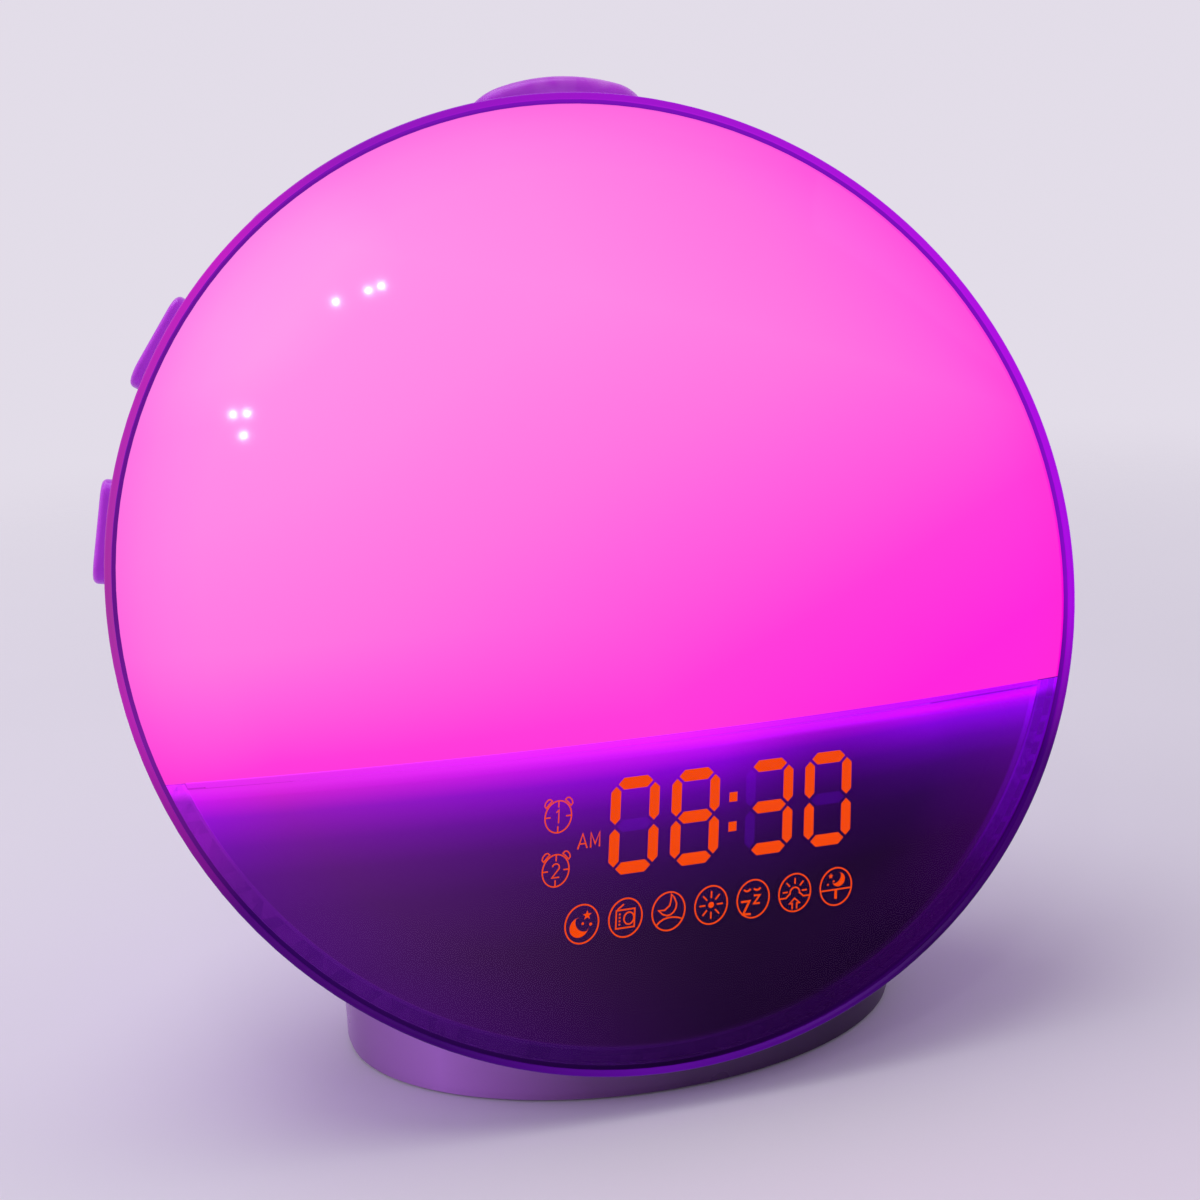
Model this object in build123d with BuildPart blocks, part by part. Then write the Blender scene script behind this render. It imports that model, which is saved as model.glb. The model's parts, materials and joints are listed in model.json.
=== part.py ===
"""Sunrise alarm clock: a domed lamp over a dark time display, in a drum that leans back on its foot.

The frame has +Z up and the face towards -Y. The origin is the middle of the sole that the clock
rests on. Most pieces are placed from the face: x to the right, y up the face, and depths behind
the flat plane that the lens's edge lies in. Lengths are millimetres and angles are degrees.
"""
import os
from math import cos, radians, sin, sqrt, tan

from build123d import *

os.makedirs("parts", exist_ok=True)

# ---- the stance ----
tilt = 19.7                 # the face leans back by this much
rim_clearance = 6.156       # lowest point of the bezel's outer edge, above the table
face_forward = 11.5         # middle of the lens, in front of the foot's middle

# ---- lens and bezel ----
lens_radius = 82.0
lens_bulge = 12.0           # the dome's middle, in front of its edge
lens_wall = 2.2
lens_skirt = 3.2            # straight edge behind the dome
window_height = 52.8        # from the seam's lowest point down to the lens's edge
seam_rise = 2.0             # how much higher the seam is at its ends
seam_inset = 5.0            # between the seam's ends and the lens's radius
seam_gap = 0.15             # between the two lens pieces
groove_width = 0.7          # shadow gap between the lens and the bezel's lip
groove_depth = 1.0
lip_width = 1.05
lip_inner_proud = 0.7       # the lip's inner edge, in front of the lens's edge
lip_outer_proud = 1.6
lip_round = 0.4
ledge_width = 5.0           # inner ledge that the lens stands on
bezel_depth = 5.0
tongue_depth = 0.9          # locates the bezel in the rear shell
tongue_width = 1.2
tongue_gap = 0.6            # between the tongue and the shell's wall
fit_gap = 0.3               # between pieces that are put together by hand
run_gap = 0.3               # between pieces that move past each other

# ---- rear shell ----
shell_inset = 0.4           # the shell is this much smaller in radius than the bezel
shell_wall = 2.2
shoulder_depth = 18.0       # where the side starts to turn in to the back
corner_radius = 35.0
back_depth = shoulder_depth + corner_radius

# ---- foot ----
foot_share = 0.622          # half width of the foot, as a share of the lens's radius
foot_setback = 4.2          # the foot's front edge, behind the bezel's lowest point
foot_top = 15.0
foot_wall = 2.5
foot_round = 3.0
deck_height = 4.2           # flat under the drum, where it sits on the foot
deck_wall = 1.5
sole_thickness = 0.8
sole_proud = 0.4            # the sole, below the base plate
sole_inset = 4.0
base_rim = 1.0              # the base plate's edge that shows
base_inset = 0.3            # shadow line between that edge and the foot's side
base_plug = 1.0             # the part of the base plate that sits inside the foot

# ---- buttons ----
side_angles = (10.6, 33.2, 55.8)    # above the horizontal, on each side
button_depth = 10.0
button_length = 17.5
button_width = 7.5
side_prouds = (2.4, 3.1, 2.2)       # the middle button stands highest, to be found by touch
button_round = 0.9
snooze_angle = 88.4
snooze_depth = 13.0
snooze_length = 33.0
snooze_width = 13.0
snooze_proud = 7.65
snooze_crown = 36.0         # radius of the snooze button's arched top
crown_angle = 87.3          # where that arch is highest
snooze_round = 3.0
flange_overhang = 2.5       # each end of a button, behind the shell's wall
flange_thickness = 1.4
stem_radius = 2.0
stem_length = 4.4           # from the flange in to the switch's plunger
press_travel = 0.8

# ---- electronics, as depths behind the lens's edge ----
led_front = 8.0
board_thickness = 1.6
tray_front = 11.1
tray_thickness = 1.6
tray_inset = 18.0           # the tray's edge, inside the lens's radius
main_front = 14.5
main_inset = 7.4            # the main board's edge, inside the shell's wall
led_inset = 22.0            # the LED board's edge, inside the lens's radius
switch_length = 4.0         # along the radius
switch_width = 6.0
switch_height = 6.3         # above the main board
plunger_radius = 1.75
plunger_length = 3.1
plunger_shown = 1.8         # of the plunger, outside its switch at rest

# ---- screws ----
post_inset = 6.0            # the posts' circle, inside the lens's radius
post_angles = (70.0, 110.0, 210.0, 330.0)
post_radius = 4.4
boss_radius = 3.6
long_screw = dict(head=2.8, head_height=2.4, shank=1.4)
small_screw = dict(head=2.2, head_height=1.2, shank=1.0)
base_screw = dict(head=2.5, head_height=1.0, shank=1.3)
cross_length = 1.1          # a screw's cross slot, as shares of its head's radius
cross_width = 0.25
screw_tip_gap = 1.0         # between a small screw's tip and the end of its hole
screw_gap = 0.2             # round a shank in its clearance hole
thread_gap = 0.05           # round a shank in its pilot hole

# ---- display ----
display_x = 14.05           # the colon
display_drop = 13.9         # middle of the digits, below the seam
digit_height = 15.7
digit_width = 8.9
digit_slant = 10.0
digit_near = 6.58           # from the colon to the digits on each side of it
digit_far = 17.2
segment_width = 2.0
segment_gap = 0.35
light_thickness = 0.4
film_thickness = 0.2
film_flat = 8.0             # the edge of its flat part, inside the lens's radius
film_edge = 2.6             # its outer edge, inside the lens's radius
film_drop = 1.4             # the outer edge, behind the flat part
icon_pitch = 7.41
icon_row_drop = 14.75       # the row of symbols, below the middle of the digits
icon_row_shift = -6.0       # its middle, from the colon
icon_width = 6.5
icon_stretch = 1.076

# ---- planes and derived sizes ----
lip_inner = lens_radius + groove_width
bezel_radius = lip_inner + lip_width
lean = radians(tilt)
face_height = rim_clearance + bezel_radius * cos(lean)
face_normal = (0, -cos(lean), sin(lean))
face_plane = Plane(origin=(0, -face_forward, face_height), x_dir=(1, 0, 0), z_dir=face_normal)
side_plane = Plane(origin=face_plane.origin, x_dir=face_plane.y_dir, z_dir=face_plane.x_dir)
drum_axis = Axis(face_plane.origin, face_plane.z_dir)

dome_radius = (lens_radius**2 + lens_bulge**2) / (2 * lens_bulge)
dome_middle = lens_bulge - dome_radius
ledge_inner = lens_radius - ledge_width
shell_radius = bezel_radius - shell_inset
shell_inner = shell_radius - shell_wall
tray_radius = lens_radius - tray_inset
main_radius = shell_inner - main_inset
led_board_radius = lens_radius - led_inset
post_circle = lens_radius - post_inset
foot_half_width = lens_radius * foot_share
foot_half_depth = face_forward + bezel_radius * sin(lean) - foot_setback
flange_outer = shell_inner - run_gap
flange_inner = flange_outer - flange_thickness
plunger_tip = flange_inner - stem_length
switch_inner = plunger_tip - plunger_shown - switch_length
back_inner = back_depth - shell_wall
base_bottom = sole_proud
base_top = base_bottom + base_rim
plug_top = base_top + base_plug
seam_half = lens_radius - seam_inset
seam_height = lens_radius - window_height
seam_radius = (seam_half**2 + seam_rise**2) / (2 * seam_rise)
display_y = -seam_height - display_drop
beyond = 20.0               # how far a cutting tool runs past what it cuts
lead = 1.0                  # how far before it a cutting tool starts


def face_at(x, y, out=0.0):
    """A plane parallel to the face, over the point (x, y), this far in front of the lens's edge."""
    middle = face_plane.from_local_coords((x, y, out))
    return Plane(origin=middle, x_dir=face_plane.x_dir, z_dir=face_plane.z_dir)


def back_at(x, y, depth):
    """The same, seen from behind: its normal points out of the back."""
    middle = face_plane.from_local_coords((x, y, -depth))
    return Plane(origin=middle, x_dir=-face_plane.x_dir, z_dir=-face_plane.z_dir)


def rim_at(angle, radius, depth):
    """A plane square to a radius of the drum: x round the rim, y out of the face, z away from the axis."""
    outward = face_plane.x_dir * cos(radians(angle)) + face_plane.y_dir * sin(radians(angle))
    middle = face_plane.origin + outward * radius - face_plane.z_dir * depth
    return Plane(origin=middle, x_dir=face_plane.z_dir.cross(outward), z_dir=outward)


def on_circle(radius, angle):
    """The point of the face at this radius and angle."""
    return radius * cos(radians(angle)), radius * sin(radians(angle))


def turned(points, plane=side_plane):
    """A closed outline of (radius, height) points, to be turned about the drum's axis."""
    with BuildSketch(plane) as outline:
        with BuildLine():
            Polyline(*points, close=True)
        make_face()
    return outline.sketch


def band(inner, outer, depth=beyond + shoulder_depth):
    """Half section of a ring round the drum, from the lens's edge to this depth."""
    return turned([(inner, 0), (outer, 0), (outer, -depth), (inner, -depth)])


def dome_at(radius, inset=0.0):
    """Height of the dome in front of the lens's edge, at this radius."""
    return dome_middle + sqrt((dome_radius - inset)**2 - radius**2)


def under_dome(inset, outer, bottom):
    """Half section of the space under the dome, out to a radius and down to a height."""
    with BuildSketch(side_plane) as outline:
        with BuildLine():
            crown = ThreePointArc(
                (0, dome_at(0, inset)),
                (outer / 2, dome_at(outer / 2, inset)),
                (outer, dome_at(outer, inset)),
            )
            Polyline(crown @ 1, (outer, bottom), (0, bottom), crown @ 0)
        make_face()
    return outline.sketch


def seam_y(x, drop=0.0):
    """Height of the seam on the face at x."""
    return seam_radius - sqrt(seam_radius**2 - x**2) - seam_height - drop


def below_seam(drop, out):
    """The face's area below the seam, lowered by a drop, on a plane this far in front of the lens's edge."""
    reach = bezel_radius + beyond
    with BuildSketch(face_plane.offset(out)) as area:
        with BuildLine():
            end = seam_y(reach, drop)
            ThreePointArc((-reach, end), (0, seam_y(0, drop)), (reach, end))
            Polyline((reach, end), (reach, -reach), (-reach, -reach), (-reach, end))
        make_face()
    return area.sketch


def drum_half(inset, front):
    """Half section of the rear shell's form, shrunk by an inset, from a depth to the back."""
    side = shell_radius - inset
    corner = corner_radius - inset
    flat = shell_radius - corner_radius
    with BuildSketch(side_plane) as outline:
        with BuildLine():
            Line((side, -front), (side, -shoulder_depth))
            CenterArc((flat, -shoulder_depth), corner, 0, -90)
            Polyline((flat, inset - back_depth), (0, inset - back_depth), (0, -front), (side, -front))
        make_face()
    return outline.sketch


def rod(plane, radius, length, mode=Mode.ADD):
    """A round bar that starts on a plane."""
    with BuildSketch(plane) as section_of_rod:
        Circle(radius)
    extrude(section_of_rod.sketch, amount=length, mode=mode)


def screw(plane, size, length):
    """A pan-head screw: its head stands on the plane and its shank runs down from it."""
    rod(plane, size["head"], size["head_height"])
    rod(plane, size["shank"], -length)
    with BuildSketch(plane.offset(size["head_height"])) as cross:
        Rectangle(size["head"] * cross_length, size["head"] * cross_width)
        Rectangle(size["head"] * cross_width, size["head"] * cross_length)
    extrude(cross.sketch, amount=-size["head_height"] / 2, mode=Mode.SUBTRACT)


def finish(piece, name):
    """Name a piece and write it."""
    piece.part.label = name
    export_step(piece.part, f"parts/{name}.step")


# ---- the two pieces of the lens ----
with BuildPart() as lens_blank:
    revolve(under_dome(0, lens_radius, -lens_skirt), axis=drum_axis)
    hollow = under_dome(lens_wall, lens_radius - lens_wall, -lens_skirt - beyond)
    revolve(hollow, axis=drum_axis, mode=Mode.SUBTRACT)

with BuildPart() as light_diffuser:
    add(lens_blank.part)
    extrude(below_seam(0, -beyond), amount=2 * beyond, mode=Mode.SUBTRACT)
finish(light_diffuser, "light_diffuser")

with BuildPart() as display_window:
    add(lens_blank.part)
    extrude(below_seam(seam_gap, -beyond), amount=2 * beyond, mode=Mode.INTERSECT)
finish(display_window, "display_window")

# ---- bezel, with the bosses that the long screws pull on ----
tongue_outer = shell_inner - tongue_gap
boss_end = tray_front
pilot_skin = 0.5            # left under the bosses' pilot holes
boss_pilot_end = bezel_depth + pilot_skin
with BuildPart() as front_bezel:
    revolve(
        turned([
            (lip_inner, lip_inner_proud),
            (bezel_radius, lip_outer_proud),
            (bezel_radius, -bezel_depth),
            (tongue_outer, -bezel_depth),
            (tongue_outer, -bezel_depth - tongue_depth),
            (tongue_outer - tongue_width, -bezel_depth - tongue_depth),
            (tongue_outer - tongue_width, -bezel_depth),
            (ledge_inner, -bezel_depth),
            (ledge_inner, -lens_skirt),
            (lip_inner, -lens_skirt),
        ]),
        axis=drum_axis,
    )
    fillet(front_bezel.edges().group_by(drum_axis)[-1], radius=lip_round)
    for angle in post_angles:
        rod(face_at(*on_circle(post_circle, angle), -boss_end), boss_radius, boss_end - lens_skirt)
    for angle in post_angles:
        rod(
            face_at(*on_circle(post_circle, angle), -boss_end),
            long_screw["shank"] + thread_gap,
            boss_end - boss_pilot_end,
            Mode.SUBTRACT,
        )
finish(front_bezel, "front_bezel")

with BuildPart() as lens_seal:
    revolve(
        turned([
            (lens_radius, -groove_depth),
            (lip_inner, -groove_depth),
            (lip_inner, -lens_skirt),
            (lens_radius, -lens_skirt),
        ]),
        axis=drum_axis,
    )
finish(lens_seal, "lens_seal")

# ---- the drum's form, which the foot is hollowed to ----
with BuildPart() as drum_form:
    revolve(drum_half(0, bezel_depth), axis=drum_axis)
    split(bisect_by=Plane.XY.offset(deck_height), keep=Keep.TOP)

with BuildPart() as drum_room:
    revolve(drum_half(shell_wall, bezel_depth), axis=drum_axis)
    split(bisect_by=Plane.XY.offset(deck_height + shell_wall), keep=Keep.TOP)

# ---- places that several pieces share ----
speaker_y = 18.5
speaker_bolts = 23.5        # radius of the circle that its screws stand on
bolt_angles = (45.0, 135.0, 225.0, 315.0)
speaker_boss_height = 2.5
speaker_flange_depth = back_inner - speaker_boss_height
grille_pitch = 3.6
grille_hole = 0.9
grille_rings = 4

power_board_y = -31.6
power_board_top = power_board_y + board_thickness
power_board_left = -36.0
power_board_right = 6.0
power_board_front = 34.0
power_board_gap = 0.5       # to the back wall
power_board_back = back_inner - power_board_gap
power_screw_inset = 4.0
power_screw_depth = 46.0
power_screws = (            # x and depth
    (power_board_left + power_screw_inset, power_screw_depth),
    (power_board_right - power_screw_inset, power_screw_depth),
)
power_boss = 3.0
power_boss_height = 6.0
jack_x = -25.0
jack_width = 9.0
jack_height = 11.0
jack_front = 37.0
jack_y = power_board_top + jack_height / 2
jack_bore = 2.9
jack_pin = 1.0
jack_bore_depth = 9.0
jack_pin_recess = 0.5       # the pin's tip, inside the mouth
jack_opening = 5.0
usb_x = -8.0
usb_width = 13.2
usb_height = 5.8
usb_shell = 0.4
usb_depth = 12.0
usb_blade = 1.6             # thickness of the contact blade
usb_blade_inset = 1.0       # from the shell's sides and mouth
usb_recess = 0.6            # the socket's mouth, inside the back
usb_y = power_board_top + usb_height / 2

cell_x = 20.0
cell_y = -22.0
cell_radius = 10.0
cell_height = 3.2
cell_round = 0.3
cup_radius = 14.5
cup_wall = 1.0
cup_depth = 6.0             # from the back wall's inside to the cup's floor
door_radius = 13.2
door_ear_y = 15.5           # the ear's screw, above the cell
door_ear_radius = 3.6
door_seat = 0.3             # between the door and the cup's rim
door_screw_length = 5.0

foot_screw_inset = 13.0
foot_screw_x = foot_half_width - foot_screw_inset
foot_screw_y = 6.0
foot_screw_seat = 4.6
foot_screw_length = 9.0
foot_boss_radius = 3.8
foot_boss_top = 16.0
base_screw_inset = 8.5      # from the foot's side and from its back
base_screw_side = foot_half_width - base_screw_inset
base_screw_back = foot_half_depth - base_screw_inset
base_screw_forward = 7.0
base_screw_spread = 16.0
base_screws_xy = (
    (base_screw_side, -base_screw_forward),
    (-base_screw_side, -base_screw_forward),
    (base_screw_spread, base_screw_back),
    (-base_screw_spread, base_screw_back),
)
base_boss_radius = 3.2
foot_boss_end = foot_top - foot_wall / 2    # inside the foot's roof
base_boss_top = 6.5


def door_outline(plane, growth):
    """The battery door's outline: a disc with an ear for its screw, grown all round."""
    with BuildSketch(plane) as outline:
        Circle(door_radius + growth)
        with Locations((0, door_ear_y)):
            Circle(door_ear_radius + growth)
        with Locations((0, door_ear_y / 2)):
            Rectangle(2 * (door_ear_radius + growth), door_ear_y)
    return outline.sketch


def button_slot(angle, depth, length, width, mode=Mode.SUBTRACT):
    """The opening that a button stands in, cut through the drum's side."""
    with BuildSketch(rim_at(angle, plunger_tip, depth)) as opening:
        SlotOverall(length + 2 * run_gap, width + 2 * run_gap)
    extrude(opening.sketch, amount=beyond, mode=mode)


# ---- rear shell ----
post_bore = long_screw["head"] + fit_gap
post_seat = 17.0            # depth of the long screws' heads
with BuildPart() as shell_posts:
    for angle in post_angles:
        place = on_circle(post_circle, angle)
        rod(back_at(*place, tray_front + tray_thickness), post_radius, back_depth)
    for x, depth in power_screws:
        top = Plane(
            origin=face_plane.from_local_coords((x, power_board_y, -depth)),
            x_dir=face_plane.x_dir,
            z_dir=-face_plane.y_dir,
        )
        rod(top, power_boss, power_boss_height)
        with BuildSketch(back_at(x, power_board_y - power_boss_height / 2, depth)) as bridge:
            Rectangle(2 * power_boss, power_boss_height)
        extrude(bridge.sketch, amount=back_depth - depth)
    for angle in bolt_angles:
        x, y = on_circle(speaker_bolts, angle)
        rod(back_at(x, speaker_y + y, speaker_flange_depth), post_bore, back_depth)
    for side in (-1, 1):
        rod(Plane((side * foot_screw_x, foot_screw_y, 0)), foot_boss_radius, foot_boss_top)
    add(drum_form.part, mode=Mode.INTERSECT)

with BuildPart() as rear_shell:
    add(drum_form.part)
    add(drum_room.part, mode=Mode.SUBTRACT)
    add(shell_posts.part)
    for angle in post_angles:
        place = on_circle(post_circle, angle)
        rod(back_at(*place, post_seat), post_bore, back_depth, Mode.SUBTRACT)
        rod(face_at(*place, -post_seat - lead), long_screw["shank"] + screw_gap, post_seat, Mode.SUBTRACT)
    for angle in side_angles:
        button_slot(angle, button_depth, button_length, button_width)
        button_slot(180 - angle, button_depth, button_length, button_width)
    button_slot(snooze_angle, snooze_depth, snooze_length, snooze_width)
    # speaker grille
    for ring in range(grille_rings + 1):
        for step in range(max(1, 6 * ring)):
            x, y = on_circle(ring * grille_pitch, step * 60 / max(1, ring))
            rod(back_at(x, speaker_y + y, back_inner - lead), grille_hole, beyond, Mode.SUBTRACT)
    for angle in bolt_angles:
        x, y = on_circle(speaker_bolts, angle)
        plane = back_at(x, speaker_y + y, speaker_flange_depth - lead)
        pilot_length = lead + speaker_boss_height + shell_wall / 2
        rod(plane, small_screw["shank"] + thread_gap, pilot_length, Mode.SUBTRACT)
    # sockets and battery door
    rod(back_at(jack_x, jack_y, back_inner - lead), jack_opening, beyond, Mode.SUBTRACT)
    with BuildSketch(back_at(usb_x, usb_y, back_inner - lead)) as usb_opening:
        Rectangle(usb_width + 2 * fit_gap, usb_height + 2 * fit_gap)
    extrude(usb_opening.sketch, amount=beyond, mode=Mode.SUBTRACT)
    door_opening = door_outline(back_at(cell_x, cell_y, back_inner - lead), run_gap)
    extrude(door_opening, amount=beyond, mode=Mode.SUBTRACT)
    # holes for the power board's screws and for the screws up from the foot
    for x, depth in power_screws:
        top = Plane(
            origin=face_plane.from_local_coords((x, power_board_y + lead, -depth)),
            x_dir=face_plane.x_dir,
            z_dir=-face_plane.y_dir,
        )
        rod(top, small_screw["shank"] + thread_gap, power_boss_height, Mode.SUBTRACT)
    for side in (-1, 1):
        rod(
            Plane((side * foot_screw_x, foot_screw_y, 0)),
            long_screw["shank"] + thread_gap,
            foot_screw_seat + foot_screw_length + fit_gap,
            Mode.SUBTRACT,
        )
finish(rear_shell, "rear_shell")

with BuildPart() as assembly_screws:
    for angle in post_angles:
        seat = back_at(*on_circle(post_circle, angle), post_seat)
        screw(seat, long_screw, post_seat - boss_pilot_end - fit_gap)
finish(assembly_screws, "assembly_screws")

# ---- foot ----
with BuildPart() as saddle_form:
    revolve(drum_half(-deck_wall, bezel_depth), axis=drum_axis)
    split(bisect_by=Plane.XY.offset(deck_height - deck_wall), keep=Keep.TOP)

with BuildPart() as foot_cavity:
    with BuildSketch(Plane.XY.offset(base_top)):
        Ellipse(foot_half_width - foot_wall, foot_half_depth - foot_wall)
    extrude(amount=foot_top - foot_wall - base_top)
    add(saddle_form.part, mode=Mode.SUBTRACT)

with BuildPart() as foot_shell:
    with BuildSketch(Plane.XY.offset(base_top)):
        Ellipse(foot_half_width, foot_half_depth)
    extrude(amount=foot_top - base_top)
    fillet(foot_shell.edges().group_by(Axis.Z)[-1], radius=foot_round)
    add(foot_cavity.part, mode=Mode.SUBTRACT)
    for x, y in base_screws_xy:
        rod(Plane((x, y, plug_top)), base_boss_radius, foot_boss_end - plug_top)
    for side in (-1, 1):
        seat = Plane((side * foot_screw_x, foot_screw_y, foot_screw_seat))
        rod(seat, foot_boss_radius, foot_boss_end - foot_screw_seat)
    add(drum_form.part, mode=Mode.SUBTRACT)
    revolve(band(0, bezel_radius + run_gap, bezel_depth), axis=drum_axis, mode=Mode.SUBTRACT)
    for x, y in base_screws_xy:
        pilot = base_screw["shank"] + thread_gap
        rod(Plane((x, y, base_top)), pilot, base_boss_top - base_top, Mode.SUBTRACT)
    for side in (-1, 1):
        rod(
            Plane((side * foot_screw_x, foot_screw_y, base_top)),
            long_screw["shank"] + screw_gap,
            foot_top,
            Mode.SUBTRACT,
        )
finish(foot_shell, "foot_shell")

with BuildPart() as foot_screws:
    for side in (-1, 1):
        seat = Plane((side * foot_screw_x, foot_screw_y, foot_screw_seat), x_dir=(1, 0, 0), z_dir=(0, 0, -1))
        screw(seat, dict(long_screw, head_height=foot_screw_seat - plug_top - screw_gap), foot_screw_length)
finish(foot_screws, "foot_screws")

with BuildPart() as base_plate:
    with BuildSketch(Plane.XY.offset(base_bottom)):
        Ellipse(foot_half_width - base_inset, foot_half_depth - base_inset)
    extrude(amount=base_rim)
    with BuildSketch(Plane.XY.offset(base_top)):
        Ellipse(foot_half_width - foot_wall - fit_gap, foot_half_depth - foot_wall - fit_gap)
    extrude(amount=base_plug)
    with BuildSketch(Plane.XY.offset(base_bottom)):
        Ellipse(foot_half_width - sole_inset, foot_half_depth - sole_inset)
    extrude(amount=sole_thickness - sole_proud, mode=Mode.SUBTRACT)
    for x, y in base_screws_xy:
        head_room = base_screw["head"] + screw_gap
        rod(Plane((x, y, sole_thickness)), head_room, base_screw["head_height"], Mode.SUBTRACT)
        rod(Plane((x, y, base_bottom)), base_screw["shank"] + screw_gap, plug_top, Mode.SUBTRACT)
finish(base_plate, "base_plate")

with BuildPart() as base_screws:
    for x, y in base_screws_xy:
        seat = Plane((x, y, sole_thickness + base_screw["head_height"]), x_dir=(1, 0, 0), z_dir=(0, 0, -1))
        screw(seat, base_screw, base_boss_top - fit_gap - sole_thickness - base_screw["head_height"])
finish(base_screws, "base_screws")

with BuildPart() as rubber_sole:
    with BuildSketch(Plane.XY):
        Ellipse(foot_half_width - sole_inset - screw_gap, foot_half_depth - sole_inset - screw_gap)
    extrude(amount=sole_thickness)
finish(rubber_sole, "rubber_sole")

# ---- tray that carries the boards ----
led_back = led_front + board_thickness
display_front = 0.4
display_board_front = 7.0
display_board_back = display_board_front + board_thickness
housing_left = -22.0
housing_right = 40.0
housing_above = 10.5        # its edges, from the middle of the digits
housing_below = 20.1
housing_top = display_y + housing_above
housing_bottom = display_y - housing_below
housing_round = 6.0
display_board_margin = 8.0
display_board_left = housing_left - display_board_margin
display_board_right = housing_right + display_board_margin
housing_lap_top = 1.4       # the housing, past the board's edges
housing_lap_bottom = 2.2
display_board_top = housing_top - housing_lap_top
display_board_bottom = housing_bottom + housing_lap_bottom
display_board_round = 8.0
display_screw_drop = 3.9
display_screw_y = display_y - display_screw_drop
display_screws_xy = (
    (housing_left - display_board_margin / 2, display_screw_y),
    (housing_right + display_board_margin / 2, display_screw_y),
)
led_screw_inset = 8.0
led_screw_circle = led_board_radius - led_screw_inset
led_screw_angles = (30.0, 90.0, 150.0)
main_screw_inset = 19.0
main_screw_circle = main_radius - main_screw_inset
main_screw_angles = (60.0, 120.0, 225.0, 315.0)
standoff_radius = 3.0
arm_overlap = 2.6           # each end of a tray arm, inside what it joins
header_x = -12.0
header_drop = 2.0
header_y = display_board_bottom - header_drop
header_length = 20.0
header_width = 2.6
header_room = 0.5           # round a header in the tray's slot
header_margin = 2.0         # of board, at each end of a header
led_header_y = 20.0
led_header_length = 8.0
baffle_wall = 1.5
baffle_reach = lens_radius - lens_wall - 2 * fit_gap    # in front of the bezel's ledge

with BuildPart() as inner_frame:
    with BuildSketch(face_plane.offset(-tray_front)):
        Circle(tray_radius)
        for angle in post_angles:
            with Locations(on_circle(post_circle, angle)):
                Circle(boss_radius)
            with Locations(Location((*on_circle((post_circle + tray_radius) / 2, angle), 0), (0, 0, angle))):
                Rectangle(post_circle - tray_radius + 2 * arm_overlap, 2 * boss_radius)
    extrude(amount=-tray_thickness)
    for angle in led_screw_angles:
        rod(face_at(*on_circle(led_screw_circle, angle), -tray_front), standoff_radius, tray_front - led_back)
    for x, y in display_screws_xy:
        rod(face_at(x, y, -tray_front), standoff_radius, tray_front - display_board_back)
    for angle in main_screw_angles:
        place = on_circle(main_screw_circle, angle)
        tray_back = tray_front + tray_thickness
        rod(back_at(*place, tray_back), standoff_radius, main_front - tray_back)
    for angle in led_screw_angles:
        plane = face_at(*on_circle(led_screw_circle, angle), -main_front)
        rod(plane, small_screw["shank"] + thread_gap, main_front, Mode.SUBTRACT)
    for x, y in display_screws_xy:
        rod(face_at(x, y, -main_front), small_screw["shank"] + thread_gap, main_front, Mode.SUBTRACT)
    for angle in main_screw_angles:
        plane = face_at(*on_circle(main_screw_circle, angle), -main_front)
        rod(plane, small_screw["shank"] + thread_gap, main_front, Mode.SUBTRACT)
    for angle in post_angles:
        plane = face_at(*on_circle(post_circle, angle), -main_front)
        rod(plane, long_screw["shank"] + screw_gap, main_front, Mode.SUBTRACT)
    with BuildSketch(face_plane.offset(-main_front)) as header_slots:
        with Locations((header_x, header_y)):
            Rectangle(header_length + 2 * header_room, header_width + 2 * header_room)
        with Locations((0, led_header_y)):
            Rectangle(led_header_length + 2 * header_room, header_width + 2 * header_room)
    extrude(header_slots.sketch, amount=main_front, mode=Mode.SUBTRACT)
finish(inner_frame, "inner_frame")

# ---- light wall under the seam, from the tray to the dome ----
with BuildPart() as light_baffle:
    revolve(under_dome(lens_wall + fit_gap, baffle_reach, fit_gap - lens_skirt), axis=drum_axis)
    revolve(under_dome(lens_wall + fit_gap, ledge_inner - fit_gap, -tray_front), axis=drum_axis)
    extrude(below_seam(-baffle_wall / 2, -beyond), amount=2 * beyond, mode=Mode.INTERSECT)
    extrude(below_seam(baffle_wall / 2, -beyond), amount=2 * beyond, mode=Mode.SUBTRACT)
finish(light_baffle, "light_baffle")

# ---- lamp: LED board, its LEDs and the white dish in front of it ----
led_outer_inset = 10.0      # the outer ring of LEDs, inside the board's edge
led_outer_ring = led_board_radius - led_outer_inset
led_rings = (               # radius and count of each ring
    (0.0, 1),
    (led_outer_ring * 0.36, 6),
    (led_outer_ring * 0.72, 12),
    (led_outer_ring, 18),
)
led_size = 5.0
led_height = 1.2
led_edge = 6.0              # a LED keeps this far from the seam
dish_floor_inset = 2.0      # inside the LED board's edge
dish_rim_inset = 6.0        # inside the lens's radius
dish_floor_radius = led_board_radius - dish_floor_inset
dish_rim_radius = lens_radius - dish_rim_inset
dish_rim = 2.5
dish_wall = 1.0
dish_hole = 4.3
dish_gap = 0.1

led_places = [
    on_circle(radius, 90 + (step + 0.5) * 360 / count)
    for radius, count in led_rings
    for step in range(count)
]
led_places = [(x, y) for x, y in led_places if y > seam_y(x) + led_edge]

with BuildPart() as led_board:
    with BuildSketch(face_plane.offset(-led_front)):
        Circle(led_board_radius)
    extrude(amount=-board_thickness)
    extrude(below_seam(-baffle_wall, -beyond), amount=2 * beyond, mode=Mode.SUBTRACT)
    for angle in led_screw_angles:
        plane = face_at(*on_circle(led_screw_circle, angle), -tray_front)
        rod(plane, small_screw["shank"] + screw_gap, tray_front, Mode.SUBTRACT)
finish(led_board, "led_board")

with BuildPart() as led_chips:
    with BuildSketch(face_plane.offset(-led_front)):
        with Locations(*led_places):
            Rectangle(led_size, led_size)
    extrude(amount=led_height)
finish(led_chips, "led_chips")

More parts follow.
